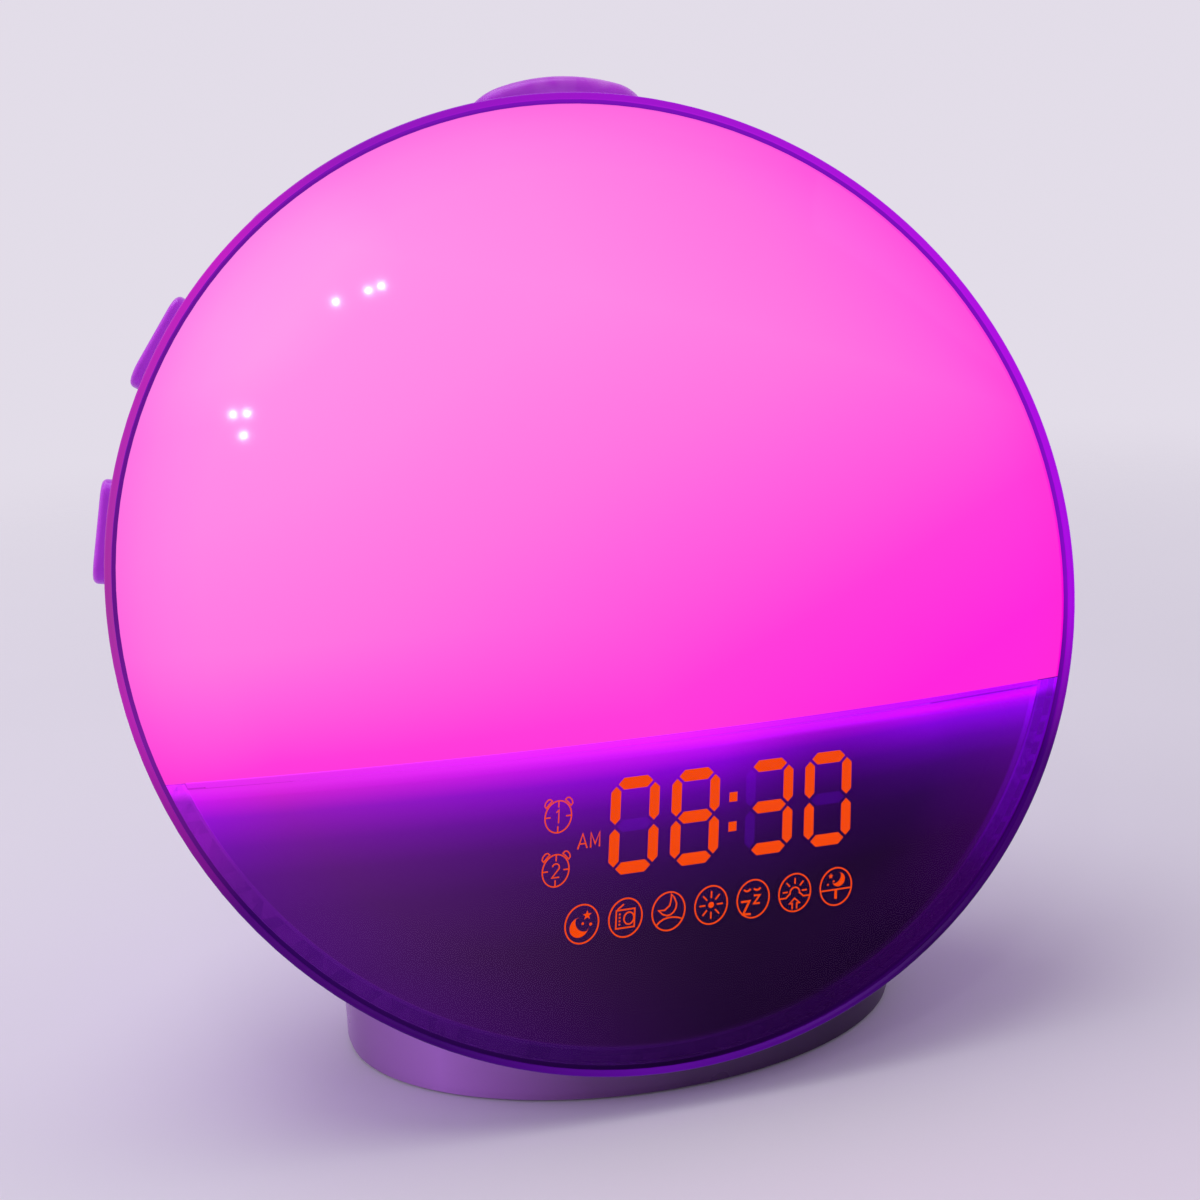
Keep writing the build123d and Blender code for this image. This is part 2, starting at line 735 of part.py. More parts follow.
with BuildPart() as led_board_screws:
    for angle in led_screw_angles:
        plane = face_at(*on_circle(led_screw_circle, angle), -led_front)
        screw(plane, small_screw, main_front - led_front - screw_tip_gap)
finish(led_board_screws, "led_board_screws")

with BuildPart() as reflector:
    floor_back = dish_gap - led_front
    revolve(
        turned([
            (0, floor_back + dish_wall),
            (dish_floor_radius, floor_back + dish_wall),
            (dish_rim_radius, -dish_rim),
            (dish_rim_radius, -dish_rim - dish_wall),
            (dish_floor_radius, floor_back),
            (0, floor_back),
        ]),
        axis=drum_axis,
    )
    extrude(below_seam(-baffle_wall, -beyond), amount=2 * beyond, mode=Mode.SUBTRACT)
    with BuildSketch(face_plane.offset(-beyond)) as dish_holes:
        with Locations(*led_places):
            Circle(dish_hole)
        with Locations(*[on_circle(led_screw_circle, angle) for angle in led_screw_angles]):
            Circle(small_screw["head"] + fit_gap)
        with Locations(*[on_circle(post_circle, angle) for angle in post_angles]):
            Circle(boss_radius + fit_gap)
    extrude(dish_holes.sketch, amount=beyond, mode=Mode.SUBTRACT)
finish(reflector, "reflector")

# ---- display: digits and round windows for the symbols, film, housing and board ----
alarm_x = -16.4
alarm_pitch = 8.7
alarm_drop = 1.25           # middle of the two alarm symbols, below the middle of the digits
alarm_y = display_y - alarm_drop
alarm_width = 6.0

shear = tan(radians(digit_slant))


def slanted(x, y):
    """A point of the upright layout, moved sideways by the display's slant."""
    return display_x + x + shear * y, display_y + y


def bar(x, y, length, upright):
    """One segment of a digit: a bar with cut corners, slanted with the digit."""
    half = segment_width / 2
    end = length / 2 - segment_gap
    outline = [
        (-end, 0),
        (half - end, half),
        (end - half, half),
        (end, 0),
        (end - half, -half),
        (half - end, -half),
    ]
    points = [(y_off, x_off) if upright else (x_off, y_off) for x_off, y_off in outline]
    return [slanted(x + px, y + py) for px, py in points]


def digit_bars(x):
    """The seven segments of a digit: a top, b and c right, d bottom, e and f left, g middle."""
    across = digit_width - segment_width
    half_height = (digit_height - segment_width) / 2
    return dict(
        a=bar(x, half_height, across, False),
        b=bar(x + across / 2, half_height / 2, half_height, True),
        c=bar(x + across / 2, -half_height / 2, half_height, True),
        d=bar(x, -half_height, across, False),
        e=bar(x - across / 2, -half_height / 2, half_height, True),
        f=bar(x - across / 2, half_height / 2, half_height, True),
        g=bar(x, 0, across, False),
    )


time_shown = "0830"
segments_of = {"0": "abcdef", "3": "abcdg", "8": "abcdefg"}
digit_places = (-digit_far, -digit_near, digit_near, digit_far)
colon_places = (-digit_height / 5, digit_height / 7)
colon_half = 0.9


def light_bars(lit):
    """Every segment that is lit, or every one that isn't, as thin bars in front of the film."""
    with BuildSketch(face_plane.offset(-display_front)) as lights:
        for x, digit in zip(digit_places, time_shown):
            for segment, points in digit_bars(x).items():
                if (segment in segments_of[digit]) == lit:
                    with BuildLine():
                        Polyline(*points, close=True)
                    make_face()
        if lit:
            for y in colon_places:
                low = y - colon_half
                high = y + colon_half
                corners = ((-colon_half, low), (colon_half, low), (colon_half, high), (-colon_half, high))
                with BuildLine():
                    Polyline(*[slanted(*corner) for corner in corners], close=True)
                make_face()
    return lights.sketch


with BuildPart() as lit_segments:
    extrude(light_bars(True), amount=light_thickness)
finish(lit_segments, "lit_segments")

with BuildPart() as unlit_segments:
    extrude(light_bars(False), amount=light_thickness)
finish(unlit_segments, "unlit_segments")

icon_row_y = display_y - icon_row_drop
icon_row_x = display_x + icon_row_shift
with BuildPart() as display_icons:
    with BuildSketch(face_plane.offset(-display_front)):
        for step in range(-3, 4):
            with Locations((icon_row_x + step * icon_pitch, icon_row_y)):
                Ellipse(icon_width / 2, icon_width / 2 * icon_stretch)
        for side in (-1, 1):
            y = alarm_y - side * alarm_pitch / 2
            with Locations((alarm_x + shear * (y - alarm_y), y)):
                Ellipse(alarm_width / 2, alarm_width / 2 * icon_stretch)
    extrude(amount=light_thickness / 2)
finish(display_icons, "display_icons")

# ---- dark film that the digits and the symbols show on ----
film_back = display_front + film_thickness
with BuildPart() as display_film:
    revolve(
        turned([
            (0, -display_front),
            (lens_radius - film_flat, -display_front),
            (lens_radius - film_edge, -display_front - film_drop),
            (lens_radius - film_edge, -film_back - film_drop),
            (lens_radius - film_flat, -film_back),
            (0, -film_back),
        ]),
        axis=drum_axis,
    )
    extrude(below_seam(baffle_wall / 2 + fit_gap, -beyond), amount=2 * beyond, mode=Mode.INTERSECT)
finish(display_film, "display_film")

with BuildPart() as display_housing:
    with BuildSketch(face_plane.offset(-display_board_front)):
        with Locations(((housing_left + housing_right) / 2, (housing_top + housing_bottom) / 2)):
            RectangleRounded(housing_right - housing_left, housing_top - housing_bottom, housing_round)
    extrude(amount=display_board_front - film_back)
finish(display_housing, "display_housing")

with BuildPart() as display_board:
    with BuildSketch(face_plane.offset(-display_board_front)):
        middle_x = (display_board_left + display_board_right) / 2
        middle_y = (display_board_top + display_board_bottom) / 2
        with Locations((middle_x, middle_y)):
            RectangleRounded(
                display_board_right - display_board_left,
                display_board_top - display_board_bottom,
                display_board_round,
            )
        with Locations((header_x, header_y)):
            Rectangle(header_length + 2 * header_margin, 2 * header_width + header_margin)
        with Locations(*display_screws_xy):
            Circle(small_screw["shank"] + screw_gap, mode=Mode.SUBTRACT)
    extrude(amount=-board_thickness)
finish(display_board, "display_board")

with BuildPart() as display_screws:
    for x, y in display_screws_xy:
        seat = face_at(x, y, -display_board_front)
        screw(seat, small_screw, main_front - display_board_front - screw_tip_gap)
finish(display_screws, "display_screws")

# ---- main board, its parts and the switches under the buttons ----
main_back = main_front + board_thickness
switch_axis_depth = button_depth
button_angles = [*side_angles, snooze_angle, *[180 - angle for angle in reversed(side_angles)]]

with BuildPart() as main_board:
    with BuildSketch(face_plane.offset(-main_front)):
        Circle(main_radius)
        with Locations(*[on_circle(post_circle, angle) for angle in post_angles]):
            Circle(post_radius + fit_gap, mode=Mode.SUBTRACT)
        with Locations(*[on_circle(main_screw_circle, angle) for angle in main_screw_angles]):
            Circle(small_screw["shank"] + screw_gap, mode=Mode.SUBTRACT)
    extrude(amount=-board_thickness)
finish(main_board, "main_board")

with BuildPart() as main_board_screws:
    for angle in main_screw_angles:
        place = on_circle(main_screw_circle, angle)
        screw(back_at(*place, main_back), small_screw, main_back - tray_front - screw_tip_gap)
finish(main_board_screws, "main_board_screws")

chips = (
    # x, y, width, height, thickness
    (0.0, -18.0, 12.0, 12.0, 1.6),
    (22.0, -14.0, 8.0, 6.0, 1.5),
    (-24.0, -12.0, 6.0, 6.0, 1.5),
    (8.0, 14.0, 5.0, 4.0, 1.2),
    (-12.0, 10.0, 5.0, 4.0, 1.2),
    (34.0, 12.0, 7.0, 7.0, 4.0),
    (-36.0, 14.0, 7.0, 7.0, 4.0),
    (26.0, 30.0, 11.0, 4.5, 3.5),
)
with BuildPart() as main_chips:
    for x, y, width, height, thickness in chips:
        with BuildSketch(back_at(x, y, main_back)) as chip:
            Rectangle(width, height)
        extrude(chip.sketch, amount=thickness)
finish(main_chips, "main_chips")

with BuildPart() as board_headers:
    for x, y, length, top in (
        (header_x, header_y, header_length, display_board_back),
        (0.0, led_header_y, led_header_length, led_back),
    ):
        with BuildSketch(face_at(x, y, -main_front)) as header:
            Rectangle(length, header_width)
        extrude(header.sketch, amount=main_front - top)
finish(board_headers, "board_headers")

with BuildPart() as tact_switches:
    for angle in button_angles:
        middle_depth = main_front - switch_height / 2
        with BuildSketch(rim_at(angle, switch_inner, middle_depth)) as body:
            Rectangle(switch_width, switch_height)
        extrude(body.sketch, amount=switch_length)
        bore_floor = plunger_tip - plunger_length - press_travel - run_gap
        rod(rim_at(angle, bore_floor, switch_axis_depth), plunger_radius + run_gap, beyond, Mode.SUBTRACT)
finish(tact_switches, "tact_switches")

# ---- buttons: each cap stands in its slot, held in by a flange behind the wall ----
def button_base(angle, depth, length, width):
    """The flange behind the wall and the stem that reaches the switch."""
    with BuildPart() as base:
        with BuildSketch(rim_at(angle, plunger_tip, depth)):
            SlotOverall(length + 2 * flange_overhang, width)
        extrude(amount=beyond)
        revolve(band(flange_inner, flange_outer), axis=drum_axis, mode=Mode.INTERSECT)
        stem = flange_inner - plunger_tip + flange_thickness / 2
        rod(rim_at(angle, plunger_tip, switch_axis_depth), stem_radius, stem)
    return base.part


def plunger(angle):
    """The switch's own plunger."""
    with BuildPart() as pin:
        rod(rim_at(angle, plunger_tip - plunger_length, switch_axis_depth), plunger_radius, plunger_length)
    return pin


for side, angles in (("right", side_angles), ("left", [180 - angle for angle in side_angles])):
    for number, (angle, proud) in enumerate(zip(angles, side_prouds), start=1):
        with BuildPart() as side_button:
            with BuildSketch(rim_at(angle, plunger_tip, button_depth)):
                SlotOverall(button_length, button_width)
            extrude(amount=shell_radius + proud - plunger_tip)
            revolve(band(0, flange_inner), axis=drum_axis, mode=Mode.SUBTRACT)
            outward = rim_at(angle, 0, 0)
            crown = side_button.faces().sort_by(Axis(outward.origin, outward.z_dir))[-1]
            fillet(crown.edges(), radius=button_round)
            add(button_base(angle, button_depth, button_length, button_width))
        finish(side_button, f"{side}_button_{number}")
        finish(plunger(angle), f"{side}_plunger_{number}")

snooze_top = bezel_radius + snooze_proud - shell_inset
with BuildPart() as snooze_button:
    with BuildSketch(rim_at(snooze_angle, plunger_tip, snooze_depth)):
        SlotOverall(snooze_length, snooze_width)
    extrude(amount=beyond)
    with BuildSketch(face_at(*on_circle(snooze_top - snooze_crown, crown_angle))) as crown_arch:
        Circle(snooze_crown)
    extrude(crown_arch.sketch, amount=-2 * snooze_depth, mode=Mode.INTERSECT)
    revolve(band(0, flange_inner), axis=drum_axis, mode=Mode.SUBTRACT)
    outward = rim_at(snooze_angle, 0, 0)
    crown = snooze_button.faces().sort_by(Axis(outward.origin, outward.z_dir))[-1]
    fillet(crown.edges(), radius=snooze_round)
    add(button_base(snooze_angle, snooze_depth, snooze_length, snooze_width))
finish(snooze_button, "snooze_button")
finish(plunger(snooze_angle), "snooze_plunger")

# ---- speaker, facing out of the back ----
flange_back = speaker_flange_depth
flange_plate = 1.5
frame_outer = 26.0
frame_opening = 18.0
basket_depth = 11.0
basket_floor_radius = 15.0
basket_wall = 1.2
magnet_radius = 15.0
magnet_height = 9.5
coil_radius = 6.4
coil_wall = 0.4
coil_gap = 0.5
coil_slot = 7.5             # depth of the magnet's slot that the coil moves in
coil_reach = 4.25           # of the coil, into that slot at rest
cone_radius = 15.5
cone_wall = 0.5
cone_depth = 6.0
cone_cap = 1.2              # rise of the dust cap in the cone's middle
surround_seat = 0.1         # the surround's inner edge, in front of the frame
surround_outer = 18.7
surround_height = 1.3
seal_inner = 18.9
seal_outer = 20.2
speaker_plane = Plane(
    origin=face_plane.from_local_coords((0, speaker_y, -flange_back)),
    x_dir=face_plane.y_dir,
    z_dir=-face_plane.x_dir,
)
speaker_axis = Axis(speaker_plane.origin, face_plane.z_dir)

with BuildPart() as speaker_frame:
    floor = -flange_plate - basket_depth
    revolve(
        turned(
            [
                (frame_opening, 0),
                (frame_outer, 0),
                (frame_outer, -flange_plate),
                (frame_opening + 2 * basket_wall, -flange_plate),
                (basket_floor_radius + basket_wall, floor),
                (coil_radius + coil_gap, floor),
                (coil_radius + coil_gap, floor + basket_wall),
                (basket_floor_radius, floor + basket_wall),
                (frame_opening, -flange_plate),
            ],
            speaker_plane,
        ),
        axis=speaker_axis,
    )
    for angle in bolt_angles:
        x, y = on_circle(speaker_bolts, angle)
        plane = back_at(x, speaker_y + y, flange_back - beyond)
        rod(plane, small_screw["shank"] + screw_gap, 2 * beyond, Mode.SUBTRACT)
finish(speaker_frame, "speaker_frame")

with BuildPart() as speaker_magnet:
    top = floor
    revolve(
        turned(
            [
                (0, top),
                (coil_radius - coil_wall - coil_gap, top),
                (coil_radius - coil_wall - coil_gap, top - coil_slot),
                (coil_radius + coil_gap, top - coil_slot),
                (coil_radius + coil_gap, top),
                (magnet_radius, top),
                (magnet_radius, top - magnet_height),
                (0, top - magnet_height),
            ],
            speaker_plane,
        ),
        axis=speaker_axis,
    )
finish(speaker_magnet, "speaker_magnet")

with BuildPart() as speaker_cone:
    neck = -cone_depth
    revolve(
        turned(
            [
                (cone_radius, 0),
                (cone_radius, cone_wall),
                (cone_radius - cone_wall, cone_wall),
                (coil_radius + coil_wall, neck + cone_wall),
                (0, neck + cone_wall + cone_cap),
                (0, neck + cone_cap),
                (coil_radius - coil_wall, neck),
                (coil_radius - coil_wall, floor - coil_reach),
                (coil_radius, floor - coil_reach),
                (coil_radius, neck - cone_wall),
            ],
            speaker_plane,
        ),
        axis=speaker_axis,
    )
finish(speaker_cone, "speaker_cone")

with BuildPart() as speaker_surround:
    inner = cone_radius + run_gap
    revolve(
        turned(
            [
                (inner, surround_seat),
                (inner, surround_seat + cone_wall),
                ((inner + frame_opening) / 2, surround_height),
                (frame_opening, cone_wall),
                (surround_outer, cone_wall),
                (surround_outer, 0),
                (frame_opening, 0),
                ((inner + frame_opening) / 2, surround_height - cone_wall),
            ],
            speaker_plane,
        ),
        axis=speaker_axis,
    )
finish(speaker_surround, "speaker_surround")

with BuildPart() as speaker_gasket:
    revolve(
        turned(
            [
                (seal_inner, 0),
                (seal_outer, 0),
                (seal_outer, speaker_boss_height),
                (seal_inner, speaker_boss_height),
            ],
            speaker_plane,
        ),
        axis=speaker_axis,
    )
finish(speaker_gasket, "speaker_gasket")

with BuildPart() as speaker_screws:
    for angle in bolt_angles:
        x, y = on_circle(speaker_bolts, angle)
        seat = face_at(x, speaker_y + y, flange_plate - flange_back)
        screw(seat, small_screw, flange_plate + speaker_boss_height)
finish(speaker_screws, "speaker_screws")

# ---- power board with its two sockets ----
with BuildPart() as power_board:
    plank = Plane(
        origin=face_plane.from_local_coords((0, power_board_y, 0)),
        x_dir=face_plane.x_dir,
        z_dir=face_plane.y_dir,
    )
    board_middle = ((power_board_left + power_board_right) / 2, (power_board_front + power_board_back) / 2)
    with BuildSketch(plank):
        with Locations(board_middle):
            Rectangle(power_board_right - power_board_left, power_board_back - power_board_front)
        with Locations(*power_screws):
            Circle(small_screw["shank"] + screw_gap, mode=Mode.SUBTRACT)
    extrude(amount=board_thickness)
finish(power_board, "power_board")

with BuildPart() as power_board_screws:
    for x, depth in power_screws:
        seat = Plane(
            origin=face_plane.from_local_coords((x, power_board_top, -depth)),
            x_dir=face_plane.x_dir,
            z_dir=face_plane.y_dir,
        )
        screw(seat, small_screw, board_thickness + power_boss_height - 2 * screw_tip_gap)
finish(power_board_screws, "power_board_screws")

with BuildPart() as power_jack:
    with BuildSketch(back_at(jack_x, jack_y, jack_front)):
        Rectangle(jack_width, jack_height)
    extrude(amount=back_inner - fit_gap - jack_front)
    jack_mouth = back_inner - fit_gap
    rod(face_at(jack_x, jack_y, -jack_mouth), jack_bore, jack_bore_depth, Mode.SUBTRACT)
    rod(back_at(jack_x, jack_y, jack_mouth - jack_bore_depth), jack_pin, jack_bore_depth - jack_pin_recess)
finish(power_jack, "power_jack")

with BuildPart() as usb_port:
    usb_mouth = back_depth - usb_recess
    with BuildSketch(back_at(usb_x, usb_y, usb_mouth - usb_depth)):
        Rectangle(usb_width, usb_height)
    extrude(amount=usb_depth)
    with BuildSketch(face_at(usb_x, usb_y, -usb_mouth)) as mouth:
        Rectangle(usb_width - 2 * usb_shell, usb_height - 2 * usb_shell)
    extrude(mouth.sketch, amount=usb_depth - usb_shell, mode=Mode.SUBTRACT)
    with BuildSketch(back_at(usb_x, usb_y + usb_blade / 2, usb_mouth - usb_depth)) as blade:
        Rectangle(usb_width - 2 * usb_blade_inset, usb_blade)
    extrude(blade.sketch, amount=usb_depth - usb_blade_inset)
finish(usb_port, "usb_port")

# ---- coin cell for the clock's memory ----
cup_floor = back_inner - cup_depth
with BuildPart() as coin_cell_cup:
    extrude(door_outline(back_at(cell_x, cell_y, cup_floor), cup_radius - door_radius), amount=cup_depth)
    rod(back_at(cell_x, cell_y, cup_floor + cup_wall), cell_radius + fit_gap, beyond, Mode.SUBTRACT)
    rod(
        back_at(cell_x, cell_y + door_ear_y, cup_floor + cup_wall / 2),
        small_screw["shank"] + run_gap,
        beyond,
        Mode.SUBTRACT,
    )
finish(coin_cell_cup, "coin_cell_cup")

contact_radius = 3.5
contact_height = 0.9
with BuildPart() as battery_contacts:
    rod(back_at(cell_x, cell_y, cup_floor + cup_wall), contact_radius, contact_height)
finish(battery_contacts, "battery_contacts")

with BuildPart() as coin_cell:
    cell_front = cup_floor + cup_wall + contact_height
    rod(back_at(cell_x, cell_y, cell_front), cell_radius, cell_height)
    fillet(coin_cell.edges(), radius=cell_round)
finish(coin_cell, "coin_cell")

with BuildPart() as battery_door:
    door_front = back_inner + door_seat
    extrude(door_outline(back_at(cell_x, cell_y, door_front), 0), amount=back_depth - door_front)
    rod(
        back_at(cell_x, cell_y + door_ear_y, door_front - lead),
        small_screw["shank"] + screw_gap,
        beyond,
        Mode.SUBTRACT,
    )
    rod(
        back_at(cell_x, cell_y + door_ear_y, back_depth - small_screw["head_height"]),
        small_screw["head"] + screw_gap,
        beyond,
        Mode.SUBTRACT,
    )
finish(battery_door, "battery_door")

with BuildPart() as battery_door_screw:
    seat = back_at(cell_x, cell_y + door_ear_y, back_depth - small_screw["head_height"])
    screw(seat, small_screw, door_screw_length)
finish(battery_door_screw, "battery_door_screw")
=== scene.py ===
"""Looks of a sunrise alarm clock.

A lit opal dome over a smoked time display, in a violet-lit drum on an oval foot. Places on the
face are given in millimetres: x to the right, y up the face, out towards the viewer.
"""
import json
from math import cos, hypot, pi, radians, sin, sqrt, tan

import bmesh
import bpy
from mathutils import Matrix, Vector


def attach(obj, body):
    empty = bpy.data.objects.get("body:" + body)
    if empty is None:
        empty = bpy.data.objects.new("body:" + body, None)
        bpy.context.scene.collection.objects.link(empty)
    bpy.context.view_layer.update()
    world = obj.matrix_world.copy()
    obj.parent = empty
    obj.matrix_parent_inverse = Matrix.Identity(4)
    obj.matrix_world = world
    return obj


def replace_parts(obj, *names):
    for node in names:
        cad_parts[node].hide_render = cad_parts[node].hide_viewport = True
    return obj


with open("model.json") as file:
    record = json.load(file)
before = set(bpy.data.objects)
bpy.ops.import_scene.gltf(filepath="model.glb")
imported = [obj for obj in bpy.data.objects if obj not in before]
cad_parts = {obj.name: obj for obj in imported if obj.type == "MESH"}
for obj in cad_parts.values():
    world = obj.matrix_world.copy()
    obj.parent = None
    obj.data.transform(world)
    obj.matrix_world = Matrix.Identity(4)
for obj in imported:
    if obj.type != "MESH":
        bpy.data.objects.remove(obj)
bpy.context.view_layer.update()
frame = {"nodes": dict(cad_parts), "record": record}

MM = 0.001

# ---- the face, as the solids have it, in millimetres ----
TILT = radians(19.7)
FACE = Vector((0.0, -11.5, 85.0))
X_DIR = Vector((1.0, 0.0, 0.0))
UP_DIR = Vector((0.0, sin(TILT), cos(TILT)))
OUT_DIR = Vector((0.0, -cos(TILT), sin(TILT)))
LENS_RADIUS = 82.0
LENS_BULGE = 12.0
DOME_RADIUS = (LENS_RADIUS**2 + LENS_BULGE**2) / (2 * LENS_BULGE)
LIP_INNER = 82.7
RING_RADIUS = 83.75
SEAM_DROP = 29.2            # how far the seam's middle is below the face's middle
SEAM_HALF_WIDTH, SEAM_BOW = 77.0, 2.0
SEAM_RADIUS = (SEAM_HALF_WIDTH**2 + SEAM_BOW**2) / (2 * SEAM_BOW)
FILM_X, FILM_Y = -0.65, -0.32
FILM_RADIUS = 78.52         # the film's edge, as it is seen through the window
DISPLAY_X, DISPLAY_Y = 14.05, -43.1
SLANT = tan(radians(10.0))


def at(x, y, out):
    """The point of the face at x, y, this far in front of the lens's edge, in metres."""
    return (FACE + X_DIR * x + UP_DIR * y + OUT_DIR * out) * MM


# ---- node trees ----
class Tree:
    """A node tree, with short calls for the nodes that the materials share."""

    def __init__(self, tree):
        self.tree = tree

    def feed(self, socket, value):
        """Links a socket to another one, or gives it a value."""
        if isinstance(value, bpy.types.NodeSocket):
            self.tree.links.new(value, socket)
        else:
            socket.default_value = value

    def node(self, kind, inputs=(), **settings):
        made = self.tree.nodes.new(kind)
        for name, value in settings.items():
            setattr(made, name, value)
        for key, value in dict(inputs).items():
            self.feed(made.inputs[key], value)
        return made

    def math(self, operation, first, second=0.0):
        made = self.node("ShaderNodeMath", {0: first, 1: second}, operation=operation)
        return made.outputs["Value"]

    def plus(self, first, second):
        return self.math("ADD", first, second)

    def minus(self, first, second):
        return self.math("SUBTRACT", first, second)

    def times(self, first, second):
        return self.math("MULTIPLY", first, second)

    def vector(self, operation, first, second):
        made = self.node("ShaderNodeVectorMath", {0: first, 1: second}, operation=operation)
        return made.outputs["Value" if operation in ("DOT_PRODUCT", "LENGTH") else "Vector"]

    def spread(self, value, low, high, to_low=0.0, to_high=1.0):
        """value, moved from one range to another and kept inside it."""
        ranges = {"From Min": low, "From Max": high, "To Min": to_low, "To Max": to_high}
        return self.node("ShaderNodeMapRange", {"Value": value, **ranges}).outputs["Result"]

    def ramp(self, factor, stops, interpolation="LINEAR"):
        """A colour ramp: stops are (place, colour)."""
        made = self.node("ShaderNodeValToRGB", {"Fac": factor})
        made.color_ramp.interpolation = interpolation
        elements = made.color_ramp.elements
        while len(elements) < len(stops):
            elements.new(1.0)
        for element, (place, colour) in zip(elements, stops):
            element.position = place
            element.color = colour
        return made.outputs["Color"]

    def mix(self, factor, first, second, blend="MIX"):
        """Two colours, mixed by a factor."""
        made = self.node("ShaderNodeMix", data_type="RGBA", blend_type=blend)
        sockets = {socket.name: socket for socket in made.inputs if socket.enabled}
        for key, value in (("Factor", factor), ("A", first), ("B", second)):
            self.feed(sockets[key], value)
        return [socket for socket in made.outputs if socket.enabled][0]

    def lit(self, colour, light):
        """A colour with more light added."""
        return self.mix(1.0, colour, light, "ADD")

    def toned(self, colour, tone):
        """A colour seen through another."""
        return self.mix(1.0, colour, tone, "MULTIPLY")


# scales of noise, in cells to the metre, and the range that most of a noise falls in
TONE_SCALE = 28.0
GLOSS_SCALE = 90.0
FINE_GLOSS_SCALE = 160.0
GRAIN_SCALE = 2600.0
NOISE_LOW, NOISE_HIGH = 0.3, 0.7
GRAIN_DEPTH = 0.06 * MM
BRUSH_DEPTH = 0.03 * MM


class Skin(Tree):
    """A material."""

    SOCKETS = dict(
        color="Base Color", rough="Roughness", metal="Metallic", alpha="Alpha", normal="Normal",
        specular="Specular IOR Level", tint="Specular Tint",
        glow="Emission Color", glow_strength="Emission Strength",
    )

    def __init__(self, name):
        self.material = bpy.data.materials.new(name)
        self.material.use_nodes = True
        super().__init__(self.material.node_tree)
        self.place = self.node("ShaderNodeTexCoord").outputs["Object"]

    def set(self, **values):
        """Sets the shader's own inputs."""
        shader = self.tree.nodes["Principled BSDF"]
        for key, value in values.items():
            self.feed(shader.inputs[self.SOCKETS[key]], value)

    def noise(self, scale, detail, roughness=0.5, place=None):
        settings = {"Scale": scale, "Detail": detail, "Roughness": roughness}
        made = self.node("ShaderNodeTexNoise", {"Vector": place or self.place, **settings})
        return made.outputs["Fac"]

    def uneven(self, value, change, scale, detail=1.0):
        """A value that drifts up and down by a change."""
        drift = self.noise(scale, detail)
        return self.spread(drift, NOISE_LOW, NOISE_HIGH, value - change, value + change)

    def bump(self, height, strength, distance):
        inputs = {"Height": height, "Strength": strength, "Distance": distance}
        self.set(normal=self.node("ShaderNodeBump", inputs).outputs["Normal"])

    def grain(self, strength, scale):
        """The grain of a textured skin."""
        self.bump(self.noise(scale, 2.0, 0.6), strength, GRAIN_DEPTH)


class FaceSkin(Skin):
    """A material whose tones follow places on the face, in millimetres."""

    def __init__(self, name):
        super().__init__(name)
        self.x = self.across(X_DIR)
        self.y = self.across(UP_DIR)

    def across(self, direction):
        """Distance from the face's middle along one of its directions."""
        from_middle = self.vector("SUBTRACT", self.place, tuple(FACE * MM))
        return self.vector("DOT_PRODUCT", from_middle, tuple(direction / MM))

    def from_point(self, x=0.0, y=0.0):
        """Distance from a point of the face."""
        x_off, y_off = self.minus(self.x, x), self.minus(self.y, y)
        return self.math("SQRT", self.plus(self.times(x_off, x_off), self.times(y_off, y_off)))

    def below_seam(self):
        """How far below the seam a point is."""
        rise = self.times(self.math("POWER", self.x, 2.0), 0.5 / SEAM_RADIUS)
        return self.minus(self.minus(rise, SEAM_DROP), self.y)

    def turn(self):
        """The way round the face, from 0 to 1: left, bottom, right, top and left again."""
        return self.spread(self.math("ARCTAN2", self.y, self.x), -pi, pi)


# ---- materials ----
def linear(red, green, blue):
    """A colour given as 0-255 screen values, as the linear numbers a shader takes."""
    values = [c / 255 for c in (red, green, blue)]
    return (*[c / 12.92 if c <= 0.04045 else ((c + 0.055) / 1.055)**2.4 for c in values], 1.0)


def scaled(colour, factor):
    """A colour made darker or lighter."""
    return (*[min(1.0, c * factor) for c in colour[:3]], 1.0)


BLACK = (0.0, 0.0, 0.0, 1.0)
WHITE = (1.0, 1.0, 1.0, 1.0)
# a violet tint on highlights: the room's violet light, painted into the reflections
VIOLET_ROOM_REFLECTION = (0.62, 0.22, 1.0, 1.0)
WINDOW_ALPHA = 0.4
BEHIND_WINDOW = 1 / (1 - WINDOW_ALPHA)**2   # makes up for the window's two faces


def plastic(name, colour, rough, grain=0.0, grain_scale=GRAIN_SCALE, change=0.05, **extra):
    """Moulded plastic: slow shifts of tone, uneven gloss and, on textured skins, a grain."""
    skin = Skin(name)
    base = linear(*colour)
    tones = [(NOISE_LOW, scaled(base, 0.95)), (NOISE_HIGH, scaled(base, 1.05))]
    skin.set(color=skin.ramp(skin.noise(TONE_SCALE, 2.0), tones))
    skin.set(rough=skin.uneven(rough, change, GLOSS_SCALE), **extra)
    if grain:
        skin.grain(grain, grain_scale)
    return skin.material


def metal(name, colour, rough, scale=900.0, stretch=(1.0, 1.0, 1.0)):
    """Plated or brushed metal: a tone and a gloss that vary with fine marks."""
    skin = Skin(name)
    marks = skin.noise(scale, 4.0, 0.6, skin.vector("MULTIPLY", skin.place, stretch))
    base = linear(*colour)
    tones = [(NOISE_LOW, scaled(base, 0.86)), (NOISE_HIGH, base)]
    skin.set(color=skin.ramp(marks, tones), metal=1.0)
    skin.set(rough=skin.spread(marks, NOISE_LOW, NOISE_HIGH, rough - 0.06, rough + 0.1))
    skin.bump(marks, 0.15, BRUSH_DEPTH)
    return skin.material


